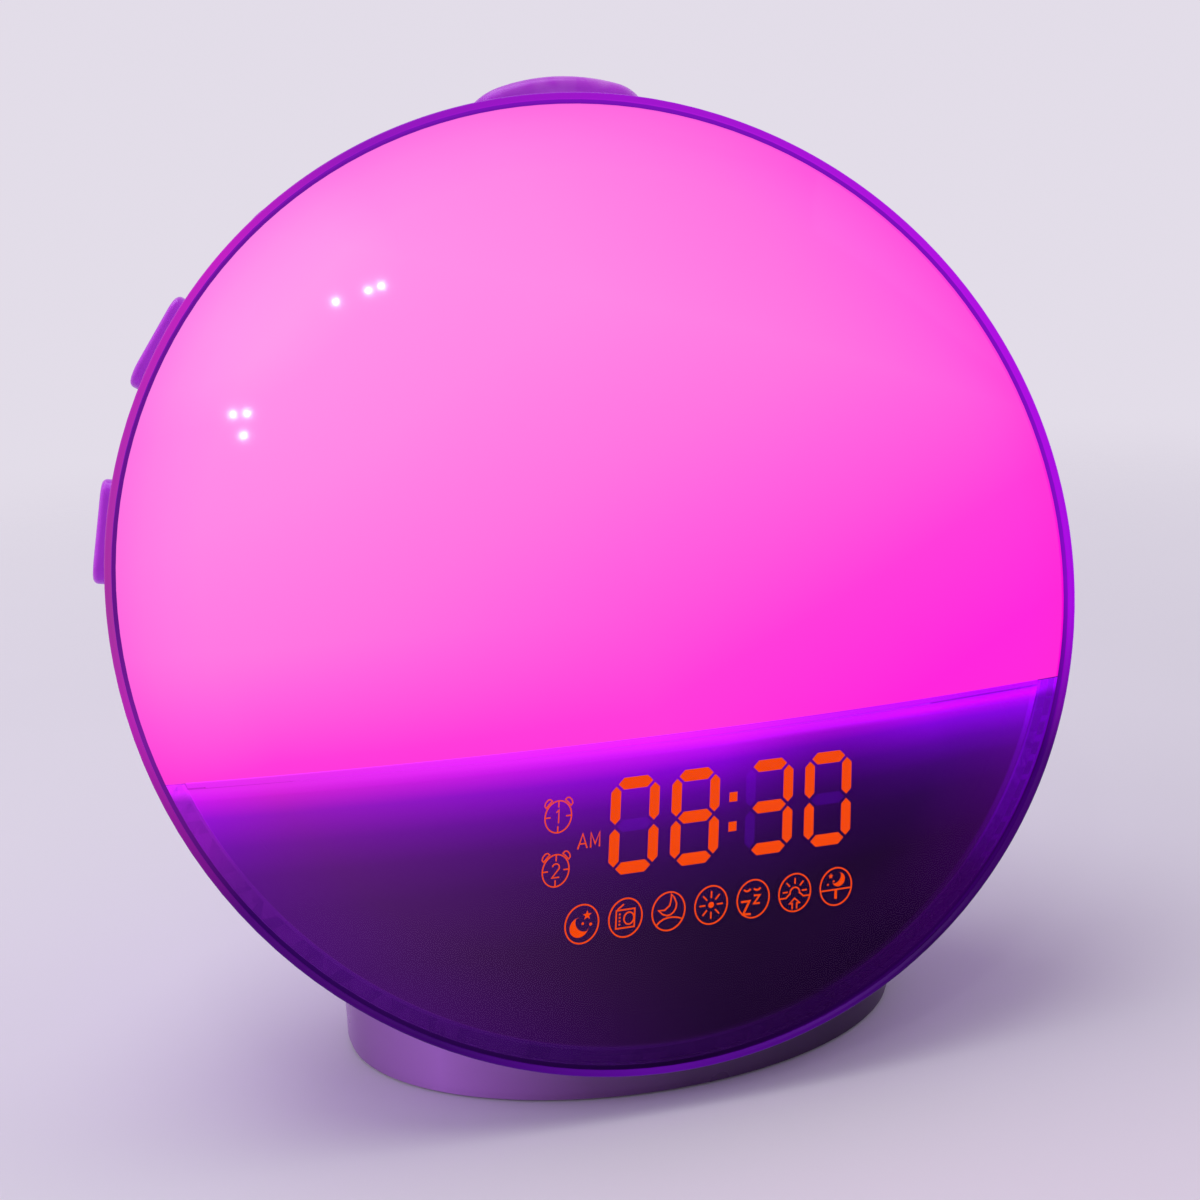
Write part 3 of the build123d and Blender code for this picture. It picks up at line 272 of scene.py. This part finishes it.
def opal_dome():
    """The opal dome, lit from behind: palest at the upper left, pink at the lower right."""
    tones = [
        (0.070, linear(251, 6, 217)),
        (0.210, linear(251, 48, 215)),
        (0.298, linear(251, 76, 217)),
        (0.376, linear(251, 92, 220)),
        (0.473, linear(251, 110, 221)),
        (0.656, linear(251, 131, 226)),
        (0.814, linear(251, 140, 229)),
        (0.890, linear(251, 151, 232)),
        (1.000, linear(251, 158, 234)),
    ]
    rim_tones = [
        (0.00, WHITE),
        (0.35, (1.0, 0.98, 1.00, 1.0)),
        (0.60, (1.0, 0.90, 1.00, 1.0)),
        (0.80, (1.0, 0.80, 0.98, 1.0)),
        (1.00, (1.0, 0.63, 0.96, 1.0)),
    ]
    skin = FaceSkin("opal_dome")
    # the level of the glow rises to the upper left: the lamp's own light, with a broad painted
    # sheen of the room's light on top
    level = skin.minus(skin.y, skin.times(skin.x, 0.46))
    # and falls off at the top, and along the seam on the left
    crown = skin.plus(skin.y, skin.times(skin.x, 0.3))
    level = skin.plus(level, skin.spread(crown, 45.0, 80.0, 0.0, -45.0))
    by_seam = skin.spread(skin.below_seam(), -20.0, 0.0, 0.0, -30.0)
    level = skin.plus(level, skin.times(by_seam, skin.spread(skin.x, -60.0, 0.0, 1.0, 0.0)))
    level = skin.plus(level, skin.uneven(0.0, 2.0, 9.0))
    # the palest place, lifted further by the painted sheen
    palest = skin.spread(skin.from_point(-62.0, 46.0), 0.0, 52.0, 1.0, 0.0)
    level = skin.plus(level, skin.times(skin.times(palest, palest), 26.0))
    glow = skin.ramp(skin.spread(level, -60.0, 100.0), tones)
    rim = skin.ramp(skin.spread(skin.from_point(), 62.0, LENS_RADIUS), rim_tones)
    skin.set(color=linear(60, 10, 45), rough=0.06, specular=0.25)
    skin.set(glow=skin.toned(glow, rim), glow_strength=1.0)
    return skin.material


def smoked_window():
    """The smoked window: see-through, with the lamp's light painted as a glow at its upper edge
    and its rim.
    """
    seam_light = [(0.0, linear(226, 30, 246)), (0.25, linear(222, 26, 246)), (0.8, BLACK)]
    side_tones = [
        (0.0, (0.72, 1.10, 0.6, 1.0)),
        (0.5, (0.95, 0.90, 0.9, 1.0)),
        (1.0, (0.42, 0.05, 0.8, 1.0)),
    ]
    rim_light = [
        (0.05, linear(164, 26, 206)),
        (0.09, linear(94, 22, 132)),
        (0.13, linear(72, 18, 110)),
        (0.20, linear(48, 11, 80)),
        (0.30, linear(24, 2, 40)),
        (0.37, linear(44, 0, 70)),
        (0.43, linear(100, 0, 178)),
    ]
    skin = FaceSkin("smoked_window")
    glow = skin.ramp(skin.spread(skin.below_seam(), 0.0, 4.0), seam_light, "EASE")
    # the painted glow changes tone from left to right, weakest at the right
    glow = skin.toned(glow, skin.ramp(skin.spread(skin.x, -60.0, 60.0), side_tones))
    # round the film's edge the ledge behind the window is lit: painted light
    past_film = skin.spread(skin.from_point(FILM_X, FILM_Y), FILM_RADIUS, FILM_RADIUS + 0.22)
    glow = skin.lit(glow, skin.mix(past_film, BLACK, skin.ramp(skin.turn(), rim_light)))
    skin.set(color=linear(10, 4, 18), rough=0.06, alpha=WINDOW_ALPHA)
    skin.set(tint=VIOLET_ROOM_REFLECTION, specular=0.15, glow=glow, glow_strength=1.5)
    return skin.material


def display_film(name, lift=BLACK):
    """The dark film behind the window, with the lamp's light painted on it: it leaks in under
    the seam and dies away below it.
    """
    seam_light = [
        (0.020, linear(130, 14, 160)),
        (0.045, linear(196, 14, 248)),
        (0.100, linear(132, 2, 210)),
        (0.180, linear(90, 2, 154)),
        (0.260, linear(62, 6, 106)),
        (0.360, linear(44, 8, 74)),
        (0.530, linear(28, 10, 42)),
        (1.000, linear(20, 3, 32)),
    ]
    side_tones = [(0.0, (1.0, 1.3, 0.6, 1.0)), (0.55, WHITE), (1.0, (0.95, 0.1, 1.1, 1.0))]
    left_haze = [(0.0, linear(66, 24, 88)), (1.0, BLACK)]
    skin = FaceSkin(name)
    # the leak reaches less far at the right
    below = skin.times(skin.below_seam(), skin.spread(skin.x, 0.0, 60.0, 1.0, 1.4))
    glow = skin.ramp(skin.spread(below, 0.0, 60.0), seam_light)
    glow = skin.toned(glow, skin.ramp(skin.spread(skin.x, -60.0, 65.0), side_tones))
    # painted shade behind the last digit, where the display's housing holds back the leak
    glow = skin.toned(glow, skin.spread(skin.from_point(33.0, -40.0), 4.0, 20.0, 0.62, 1.0))
    # a painted haze of light at the left
    glow = skin.lit(glow, skin.ramp(skin.spread(skin.x, -70.0, 15.0), left_haze, "EASE"))
    # a painted haze of light along the lower right edge, and a bluer tone of the painted light
    # along the left one
    radius = skin.from_point()
    lower_right = skin.times(skin.spread(skin.x, 20.0, 50.0), skin.spread(skin.y, -68.0, -40.0))
    right_edge = skin.times(skin.spread(radius, 66.0, 79.0), lower_right)
    glow = skin.lit(glow, skin.mix(right_edge, BLACK, linear(51, 0, 77)))
    left_edge = skin.times(skin.spread(radius, 68.0, 79.0), skin.spread(skin.x, 20.0, -20.0))
    glow = skin.toned(glow, skin.mix(left_edge, WHITE, (1.02, 0.6, 1.3, 1.0)))
    skin.set(color=linear(14, 6, 22), rough=0.5, specular=0.0)
    skin.set(glow=skin.lit(glow, lift), glow_strength=BEHIND_WINDOW)
    return skin.material


def violet_lit_foot():
    """The foot: white plastic painted lavender for the room's violet light on it, with painted
    light and shade on its front that darken it to the right, away from that light.
    """
    front_light_and_shade = [
        (0.00, linear(145, 93, 169)),
        (0.15, linear(192, 124, 224)),
        (0.45, linear(118, 72, 138)),
        (0.65, linear(80, 45, 97)),
        (1.00, linear(56, 30, 70)),
    ]
    skin = Skin("violet_lit_foot")
    side = skin.vector("DOT_PRODUCT", skin.place, (1.0, 0.0, 0.0))
    back = skin.vector("DOT_PRODUCT", skin.place, (0.0, 1.0, 0.0))
    # painted light and shade: a lighter band at the left, darker towards the right; from
    # behind, an even painted lavender
    front = skin.ramp(skin.spread(side, -50 * MM, 30 * MM), front_light_and_shade)
    to_back = skin.spread(back, -10 * MM, 20 * MM)
    skin.set(color=skin.mix(to_back, front, linear(168, 108, 196)))
    skin.set(rough=skin.uneven(0.3, 0.04, GLOSS_SCALE))
    skin.grain(0.02, GRAIN_SCALE)
    return skin.material


# the lamp's light painted on the groove, by the way round
GROOVE_LIGHT = [
    (0.00, linear(92, 20, 126)),
    (0.04, linear(116, 26, 146)),
    (0.10, linear(40, 2, 78)),
    (0.25, linear(8, 0, 20)),
    (0.42, linear(46, 0, 80)),
    (0.48, linear(120, 12, 178)),
    (0.75, linear(112, 16, 166)),
    (1.00, linear(92, 20, 126)),
]
# the lamp's light painted on the lip, by the way round
LIP_LIGHT = [
    (0.00, linear(160, 48, 140)),
    (0.03, linear(176, 34, 160)),
    (0.10, linear(62, 4, 90)),
    (0.17, linear(30, 0, 62)),
    (0.24, linear(78, 4, 132)),
    (0.34, linear(4, 0, 12)),
    (0.42, linear(48, 0, 76)),
    (0.47, linear(160, 2, 212)),
    (0.60, linear(172, 14, 214)),
    (0.82, linear(140, 20, 176)),
    (0.88, linear(192, 30, 184)),
    (1.00, linear(160, 48, 140)),
]


def ring(name, colour, rough, inner, outer):
    """A ring round the lens with the lamp's light painted on it as a glow, and an outer wall
    painted violet for the room's light on white plastic.

    inner and outer are its painted glow by the way round: up to its lip's inner edge, and past
    it.
    """
    skin = FaceSkin(name)
    out = skin.across(OUT_DIR)
    radius = skin.from_point()
    # the lip counts from the upper end of its inner wall
    lip_wall = skin.spread(radius, LIP_INNER - 0.3, LIP_INNER - 0.1)
    lip_wall = skin.times(skin.spread(out, 0.15, 0.3), lip_wall)
    lip_top = skin.spread(radius, LIP_INNER + 0.01, LIP_INNER + 0.06)
    past_lip = skin.math("MAXIMUM", lip_wall, lip_top)
    turn = skin.turn()
    glow = skin.mix(past_lip, skin.ramp(turn, inner), skin.ramp(turn, outer))
    # the outer wall starts just behind the lip
    behind_lip = skin.spread(out, 0.2, -1.2)
    outer_wall = skin.spread(radius, RING_RADIUS - 0.15, RING_RADIUS - 0.05)
    outer_wall = skin.times(behind_lip, outer_wall)
    # painted colour: the outer wall violet for the room's light on white plastic, the rest the
    # given dark violet under the painted glow
    skin.set(color=skin.mix(outer_wall, linear(*colour), linear(166, 60, 214)))
    skin.set(rough=skin.uneven(rough, 0.03, FINE_GLOSS_SCALE, 4.0))
    skin.set(tint=VIOLET_ROOM_REFLECTION, specular=0.15)
    # the lamp's light, painted as a glow, kept off the outer wall
    skin.set(glow=skin.mix(outer_wall, glow, BLACK), glow_strength=1.0)
    return skin.material


def top_button():
    """The top button: violet from the room's light painted on it, lighter towards the right,
    with pale painted reflections to the right.
    """
    skin = FaceSkin("top_button")
    side_tones = [(0.0, linear(178, 44, 214)), (1.0, linear(204, 70, 236))]
    base = skin.ramp(skin.spread(skin.x, -16.0, 12.0), side_tones)
    painted_glints = skin.spread(skin.noise(240.0, 1.0), 0.40, 0.68)
    painted_glints = skin.times(painted_glints, skin.spread(skin.across(OUT_DIR), -9.5, -7.5))
    painted_glints = skin.times(painted_glints, skin.spread(skin.x, -6.0, 8.0, 0.1, 0.45))
    skin.set(color=skin.mix(painted_glints, base, linear(226, 140, 246)), tint=VIOLET_ROOM_REFLECTION)
    skin.set(rough=skin.uneven(0.25, 0.05, FINE_GLOSS_SCALE, 4.0))
    return skin.material


def pale_floor():
    """The floor, which fades into the backdrop."""
    tones = [(0.0, linear(232, 227, 238)), (1.0, linear(237, 232, 243))]
    skin = Skin("pale_floor")
    skin.set(color=skin.ramp(skin.noise(6.0, 3.0), tones), rough=0.6, specular=0.0)
    reach = skin.vector("LENGTH", skin.place, (0.0, 0.0, 0.0))
    fade = skin.spread(reach, 0.25, 0.85)
    skin.set(alpha=skin.ramp(fade, [(0.0, WHITE), (1.0, BLACK)], "EASE"))
    return skin.material


film = display_film("display_film")
materials = {
    # the housing's violet is the room's violet light, painted on white plastic
    "housing": plastic("violet_lit_shell", (168, 68, 216), 0.30, 0.02, tint=VIOLET_ROOM_REFLECTION),
    "bezel": ring("violet_lit_ring", (52, 5, 92), 0.16, GROOVE_LIGHT, LIP_LIGHT),
    "foot": violet_lit_foot(),
    "diffuser": opal_dome(),
    "window": smoked_window(),
    "film": film,
    # the seal fills the groove with painted shade, a dark tone, with the lamp's light painted
    # on it as the groove's glow
    "seal": ring("groove_shade_filler", (34, 5, 60), 0.35, GROOVE_LIGHT, GROOVE_LIGHT),
    # the buttons' violet is the room's violet light, painted on white plastic
    "button": plastic(
        "violet_lit_button", (202, 64, 232), 0.14, change=0.04, tint=VIOLET_ROOM_REFLECTION,
    ),
    "plunger": plastic("switch_plunger", (222, 222, 214), 0.4),
    "white_plastic": plastic("white_frame", (226, 226, 226), 0.45, 0.2),
    "black_plastic": plastic("black_plastic", (20, 20, 24), 0.42, 0.2),
    "digit_light": plastic(
        "lit_bars", (120, 36, 4), 0.4,
        specular=0.0, glow=linear(229, 71, 0), glow_strength=BEHIND_WINDOW,
    ),
    # the unlit bars: the film's painted light, with more painted violet light added
    "digit_dark": display_film("unlit_bars", linear(40, 0, 90)),
    "board": plastic("green_board", (22, 92, 48), 0.35, 0.3, 1400.0),
    "board_white": plastic("white_board", (222, 224, 222), 0.35, 0.2, 1400.0),
    "led": plastic("led_phosphor", (240, 226, 150), 0.3),
    "screw_steel": metal("zinc_screws", (190, 190, 196), 0.3),
    "steel": metal("plated_steel", (182, 182, 188), 0.32, 500.0, (1.0, 6.0, 1.0)),
    "magnet": plastic("magnet_paint", (40, 40, 44), 0.5, 0.4, 1800.0),
    "cone_paper": plastic("pressed_paper", (34, 34, 36), 0.8, 0.8, 1600.0),
    "foam": plastic("foam", (30, 30, 30), 0.9, 1.0, 2200.0),
    "sole_rubber": plastic("ribbed_rubber", (30, 28, 34), 0.7, 0.5),
}
# each node has its slot's material, but for three that show another
skins = {row["node"]: materials[row["material_slot"]] for row in frame["record"]["subparts"]}
skins.update(snooze_button=top_button(), light_baffle=film, display_icons=film)
for node, material in skins.items():
    mesh = frame["nodes"][node].data
    mesh.materials.clear()
    mesh.materials.append(material)

# ---- marks of the display: flat strokes of light, just in front of its round windows ----
MARK_OUT = 0.02
STROKE = 0.25
BEND_LIMIT = 0.5            # keeps a stroke's sharp corners from reaching far out
STAR_WAIST = 0.42           # its inner corners' reach, to its points' reach


def arc(x, y, rx, ry, start, end, steps):
    """Points along part of an ellipse, in degrees."""
    turns = [radians(start + (end - start) * i / steps) for i in range(steps + 1)]
    return [(x + rx * cos(a), y + ry * sin(a)) for a in turns]


class Mark:
    """One symbol of the display, drawn about its own middle with the display's slant."""

    def __init__(self, x, y):
        self.x, self.y = x, y
        self.shape = bmesh.new()

    def placed(self, points):
        return [(self.x + x + SLANT * y, self.y + y) for x, y in points]

    def corner(self, x, y):
        return self.shape.verts.new(at(x, y, MARK_OUT))

    def fill(self, points):
        """A filled outline."""
        self.shape.faces.new([self.corner(x, y) for x, y in self.placed(points)])

    def line(self, *points, width=STROKE, closed=False):
        """A stroke along points, as wide at its bends as along its runs."""
        points = self.placed(points)
        nexts = points[1:] + points[:1] if closed else points[1:]
        steps = [(nx - x, ny - y) for (x, y), (nx, ny) in zip(points, nexts)]
        runs = [Vector(step).normalized() for step in steps]
        before = [runs[-1] if closed else runs[0]] + runs
        after = runs + runs[-1:]
        pairs = []
        for (x, y), one, two in zip(points, before, after):
            along = (one + two).normalized()
            side = Vector((-along.y, along.x)) * (width / 2 / max(BEND_LIMIT, along.dot(one)))
            pairs.append([self.corner(x + s * side.x, y + s * side.y) for s in (1, -1)])
        if closed:
            pairs.append(pairs[0])
        for a, b in zip(pairs, pairs[1:]):
            self.shape.faces.new((a[1], b[1], b[0], a[0]))

    def ring(self, x, y, rx, ry, width=STROKE):
        self.line(*arc(x, y, rx, ry, 0, 360, 40)[:-1], width=width, closed=True)

    def rays(self, y, turns, inner, outer, width=STROKE):
        """Short strokes from one ellipse to another, at these degrees."""
        for turn in turns:
            c, s = cos(radians(turn)), sin(radians(turn))
            self.line(*[(rx * c, y + ry * s) for rx, ry in (inner, outer)], width=width)

    def dot(self, x, y, radius):
        self.fill(arc(x, y, radius, radius, 0, 360, 16)[:-1])

    def crescent(self, x, y, radius, turn):
        """A moon: an outer arc and an inner arc between the same two tips."""
        outer = arc(0, 0, radius, radius, 50, 310, 28)
        inner = arc(0.62 * radius, 0, 0.80 * radius, 0.95 * radius, 250, 110, 14)
        c, s = cos(radians(turn)), sin(radians(turn))
        self.fill([(x + c * px - s * py, y + s * px + c * py) for px, py in outer + inner])

    def star(self, x, y, radius):
        reaches = [radius * (STAR_WAIST if i % 2 else 1.0) for i in range(10)]
        turns = [pi * i / 5 for i in range(10)]
        self.fill([(x + r * sin(a), y + r * cos(a)) for r, a in zip(reaches, turns)])

    def made(self, name, slot="digit_light"):
        """The finished piece: a sheet with a front and a back, but no thickness."""
        faces = self.shape.faces
        bmesh.ops.solidify(self.shape, geom=faces[:], thickness=0.0)
        bmesh.ops.recalc_face_normals(self.shape, faces=faces[:])
        mesh = bpy.data.meshes.new(name)
        self.shape.to_mesh(mesh)
        self.shape.free()
        mesh.materials.append(materials[slot])
        piece = bpy.data.objects.new(name, mesh)
        bpy.context.scene.collection.objects.link(piece)
        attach(piece, "housing")
        return piece


# the lower row: seven round symbols
ICON_PITCH = 7.41
ICON_X = DISPLAY_X - 5.78 - 3 * ICON_PITCH      # the first one's middle
ICON_Y = DISPLAY_Y - 14.9
ICON_RX, ICON_RY = 2.83, 3.08


def icon(step):
    """A round symbol of the lower row, with its ring."""
    made = Mark(ICON_X + ICON_PITCH * step, ICON_Y)
    made.ring(0, 0, ICON_RX, ICON_RY)
    return made


night = icon(0)
night.crescent(-0.45, -0.5, 1.6, 42)
night.star(0.85, 1.3, 0.8)
night.dot(0.15, 0.05, 0.22)
night.dot(1.5, -0.2, 0.25)
night.made("mark_night")

radio = icon(1)
radio.line((-1.6, 1.3), (1.55, 1.3), (1.55, -1.6), (-1.6, -1.6), closed=True)
radio.ring(0.6, -0.15, 0.85, 0.95)
radio.line((-1.4, 1.45), (-0.35, 2.2))
for row in range(4):
    radio.dot(-1.0, 0.65 - 0.55 * row, 0.17)
radio.made("mark_radio")

dusk = icon(2)
dusk.line(
    (0.40, 2.70), (0.95, 2.05), (1.35, 1.10), (1.28, 0.40), (0.91, -0.23), (0.40, -0.58),
    (-0.24, -0.69), (-1.0, -0.4), (-1.73, 0.31), (-0.69, 0.23), (0.18, 0.91), (0.39, 1.91),
    closed=True,
)
dusk.line(
    (-2.05, -2.05), (-1.5, -1.55), (-0.8, -1.18), (0.0, -1.02), (0.9, -1.05), (1.7, -1.22),
    (2.4, -1.5),
)
dusk.made("mark_dusk")

sun = icon(3)
sun.dot(0, 0, 0.5)
sun.rays(0, range(0, 360, 45), (1.0, 1.1), (2.05, 2.25))
sun.made("mark_sun")

nap = icon(4)
for eye_x in (-1.1, 0.66):
    nap.line(*arc(eye_x, 1.85, 0.6, 0.5, 200, 340, 8), width=0.3)
nap.line((-2.15, -0.3), (-0.65, -0.3), (-1.7, -2.35), (-0.35, -2.45), width=0.36)
nap.line((0.1, 0.5), (1.15, 0.45), (0.15, -0.8), (1.2, -0.85), width=0.33)
nap.made("mark_nap")

dawn = icon(5)
dawn.line(
    (-2.7, -0.75), (-1.55, -0.75), (-1.1, -0.3), *arc(0, 0, 0.85, 0.85, 190, -10, 14),
    (1.1, -0.3), (1.55, -0.75), (2.7, -0.75),
)
dawn.line(
    (-0.4, -2.7), (-0.4, -1.75), (-0.9, -1.75), (0, -0.95), (0.9, -1.75), (0.4, -1.75),
    (0.4, -2.7),
)
dawn.rays(0.2, range(0, 181, 45), (1.25, 1.2), (2.15, 2.2))
dawn.made("mark_dawn")

evening = icon(6)
evening.line((-2.8, -0.5), (2.8, -0.5))
evening.line((0.0, -0.5), (0.0, -2.05), width=0.45)
evening.crescent(0.45, 1.1, 1.15, 140)
evening.star(-0.95, 1.8, 0.5)
evening.dot(-1.45, 0.45, 0.17)
evening.dot(-0.4, 0.9, 0.17)
evening.made("mark_evening")

# the two alarm clocks, each with its number for a face
ALARM_RX, ALARM_RY = 2.25, 2.57
ALARM_STROKE = 0.22
BELL_STROKE = 0.2
BELL = [
    (1.1, 2.65), (1.45, 2.95), (1.85, 2.9), (2.25, 2.45), (2.38, 1.95), (2.1, 1.6),
    (1.62, 2.18),
]
ONE = [(-0.35, 0.7), (0.08, 1.1), (0.08, -1.05)]
TWO = [*arc(0, 0.5, 0.6, 0.6, 165, -25, 12), (-0.6, -1.1), (0.65, -1.1)]
for name, x, y, number in (
    ("mark_alarm_1", -15.65, -40.2, ONE),
    ("mark_alarm_2", -17.2, -48.85, TWO),
):
    alarm = Mark(x, y)
    alarm.ring(0, 0, ALARM_RX, ALARM_RY, ALARM_STROKE)
    alarm.rays(0, range(0, 360, 90), (1.3, 1.5), (2.2, 2.5), ALARM_STROKE)
    for side in (-1, 1):
        alarm.line(*[(side * bx, by) for bx, by in BELL], width=BELL_STROKE, closed=True)
    alarm.line(*number, width=ALARM_STROKE)
    alarm.made(name)

letters = Mark(-11.0, -44.7)
letters.line((-1.9, -1.2), (-1.1, 1.2), (-0.3, -1.2))
letters.line((-1.62, -0.4), (-0.58, -0.4), width=0.22)
letters.line((0.3, -1.2), (0.3, 1.2), (1.05, -0.65), (1.8, 1.2), (1.8, -1.2))
letters.made("mark_morning")

# ---- the time: bars in place of the solids' plainer ones, with slimmer uprights ----
UPRIGHT_WIDTH, LEVEL_WIDTH = 1.74, 1.95
DIGIT_WIDTH, DIGIT_HEIGHT = 8.45, 15.7
DIGIT_PLACES = (-17.08, -6.5, 6.62, 17.22)
BAR_GAP = 0.35
COLON_X, COLON_PLACES = 0.17, (-2.53, 2.35)
COLON_HALF_X, COLON_HALF_Y = 0.71, 0.79
LIT_BARS = {"0": "abcdef", "3": "abcdg", "8": "abcdefg"}


def bar(x, y, length, upright):
    """The outline of one bar, with pointed ends."""
    half = (UPRIGHT_WIDTH if upright else LEVEL_WIDTH) / 2
    end = length / 2 - BAR_GAP
    short = end - half
    first = [(-end, 0), (-short, half), (short, half)]
    outline = first + [(-a, -b) for a, b in first]
    return [(x + b, y + a) if upright else (x + a, y + b) for a, b in outline]


def digit_bars(x):
    """The seven bars of a digit: a top, b and c right, d bottom, e and f left, g middle."""
    across = DIGIT_WIDTH - UPRIGHT_WIDTH
    rise = (DIGIT_HEIGHT - LEVEL_WIDTH) / 2
    return dict(
        a=bar(x, rise, across, False),
        b=bar(x + across / 2, rise / 2, rise, True),
        c=bar(x + across / 2, -rise / 2, rise, True),
        d=bar(x, -rise, across, False),
        e=bar(x - across / 2, -rise / 2, rise, True),
        f=bar(x - across / 2, rise / 2, rise, True),
        g=bar(x, 0, across, False),
    )


lit_time, unlit_time = Mark(DISPLAY_X, DISPLAY_Y), Mark(DISPLAY_X, DISPLAY_Y)
for x, digit in zip(DIGIT_PLACES, "0830"):
    for key, outline in digit_bars(x).items():
        (lit_time if key in LIT_BARS[digit] else unlit_time).fill(outline)
for y in COLON_PLACES:
    corners = ((-1, -1), (1, -1), (1, 1), (-1, 1))
    lit_time.fill([(COLON_X + a * COLON_HALF_X, y + b * COLON_HALF_Y) for a, b in corners])
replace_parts(lit_time.made("time_lit"), "lit_segments")
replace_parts(unlit_time.made("time_unlit", "digit_dark"), "unlit_segments")

# ---- camera, fitted to the photo ----
EYE = Vector((-70.1, -283.9, 145.6)) * MM
EYE_RIGHT = Vector((0.96778, -0.24756, -0.04586))
EYE_UP = Vector((0.10002, 0.21089, 0.97237))
EYE_FORWARD = Vector((0.23105, 0.94564, -0.22886))

camera = bpy.data.objects.new("camera", bpy.data.cameras.new("camera"))
bpy.context.scene.collection.objects.link(camera)
camera.data.sensor_width = 36.0
camera.data.lens = 51.0
camera.data.clip_start, camera.data.clip_end = 0.01, 20.0
aim = Matrix((EYE_RIGHT, EYE_UP, -EYE_FORWARD)).transposed()
camera.matrix_world = Matrix.Translation(EYE) @ aim.to_4x4()
bpy.context.scene.camera = camera

# ---- floor and backdrop ----
FLOOR_HALF = 3.0                        # in metres
ROOM_LEVEL, SEEN_LEVEL = 0.45, 0.95     # the backdrop as a light, and as it is seen

floor_mesh = bpy.data.meshes.new("floor")
shape = bmesh.new()
bmesh.ops.create_grid(shape, x_segments=1, y_segments=1, size=FLOOR_HALF)
shape.to_mesh(floor_mesh)
shape.free()
floor_mesh.materials.append(pale_floor())
floor = bpy.data.objects.new("floor", floor_mesh)
bpy.context.scene.collection.objects.link(floor)

world = bpy.data.worlds.new("studio")
bpy.context.scene.world = world
world.use_nodes = True
room = Tree(world.node_tree)
rays = room.node("ShaderNodeLightPath").outputs
seen = room.math("MAXIMUM", rays["Is Camera Ray"], rays["Is Glossy Ray"])
seen = room.math("MAXIMUM", seen, rays["Is Transmission Ray"])
background = world.node_tree.nodes["Background"].inputs
room.feed(background["Color"], linear(232, 226, 238))
room.feed(background["Strength"], room.spread(seen, 0.0, 1.0, ROOM_LEVEL, SEEN_LEVEL))


# ---- lamps ----
def lamp(name, place, aim, size, watts):
    """A soft square lamp."""
    data = bpy.data.lights.new(name, "AREA")
    data.size = size
    data.energy = watts
    made = bpy.data.objects.new(name, data)
    made.location = place
    made.rotation_mode = "QUATERNION"
    made.rotation_quaternion = (aim - place).to_track_quat("-Z", "Y")
    bpy.context.scene.collection.objects.link(made)


for name, place, size, watts in (
    ("overhead", (-0.3, 0.3, 1.5), 1.2, 9.0),
    ("left_side", (-1.5, -0.15, 0.75), 2.0, 9.5),
    ("right_side", (1.4, 0.3, 0.8), 1.8, 4.0),
):
    lamp(name, Vector(place), Vector((0.0, 0.0, 0.085)), size, watts)

# small bright lamps, each placed so that the camera sees it mirrored in the dome
SPARK_REACH = 1.6           # from the dome, in metres
SPARK_WATTS = 0.12
for number, (x, y, size) in enumerate((
    (-42.8, 47.6, 9), (-37.3, 49.0, 8), (-35.2, 49.6, 10),
    (-61.1, 30.3, 8), (-58.9, 30.2, 8), (-59.8, 26.6, 12),
), start=1):
    over_centre = sqrt(DOME_RADIUS**2 - hypot(x, y)**2)
    spot = at(x, y, over_centre - DOME_RADIUS + LENS_BULGE)
    normal = (X_DIR * x + UP_DIR * y + OUT_DIR * over_centre).normalized()
    to_eye = (EYE - spot).normalized()
    mirrored = normal * (2 * normal.dot(to_eye)) - to_eye
    lamp(f"spark_{number}", spot + mirrored * SPARK_REACH, spot, size * MM, SPARK_WATTS)

bpy.context.scene.view_settings.view_transform = "Standard"
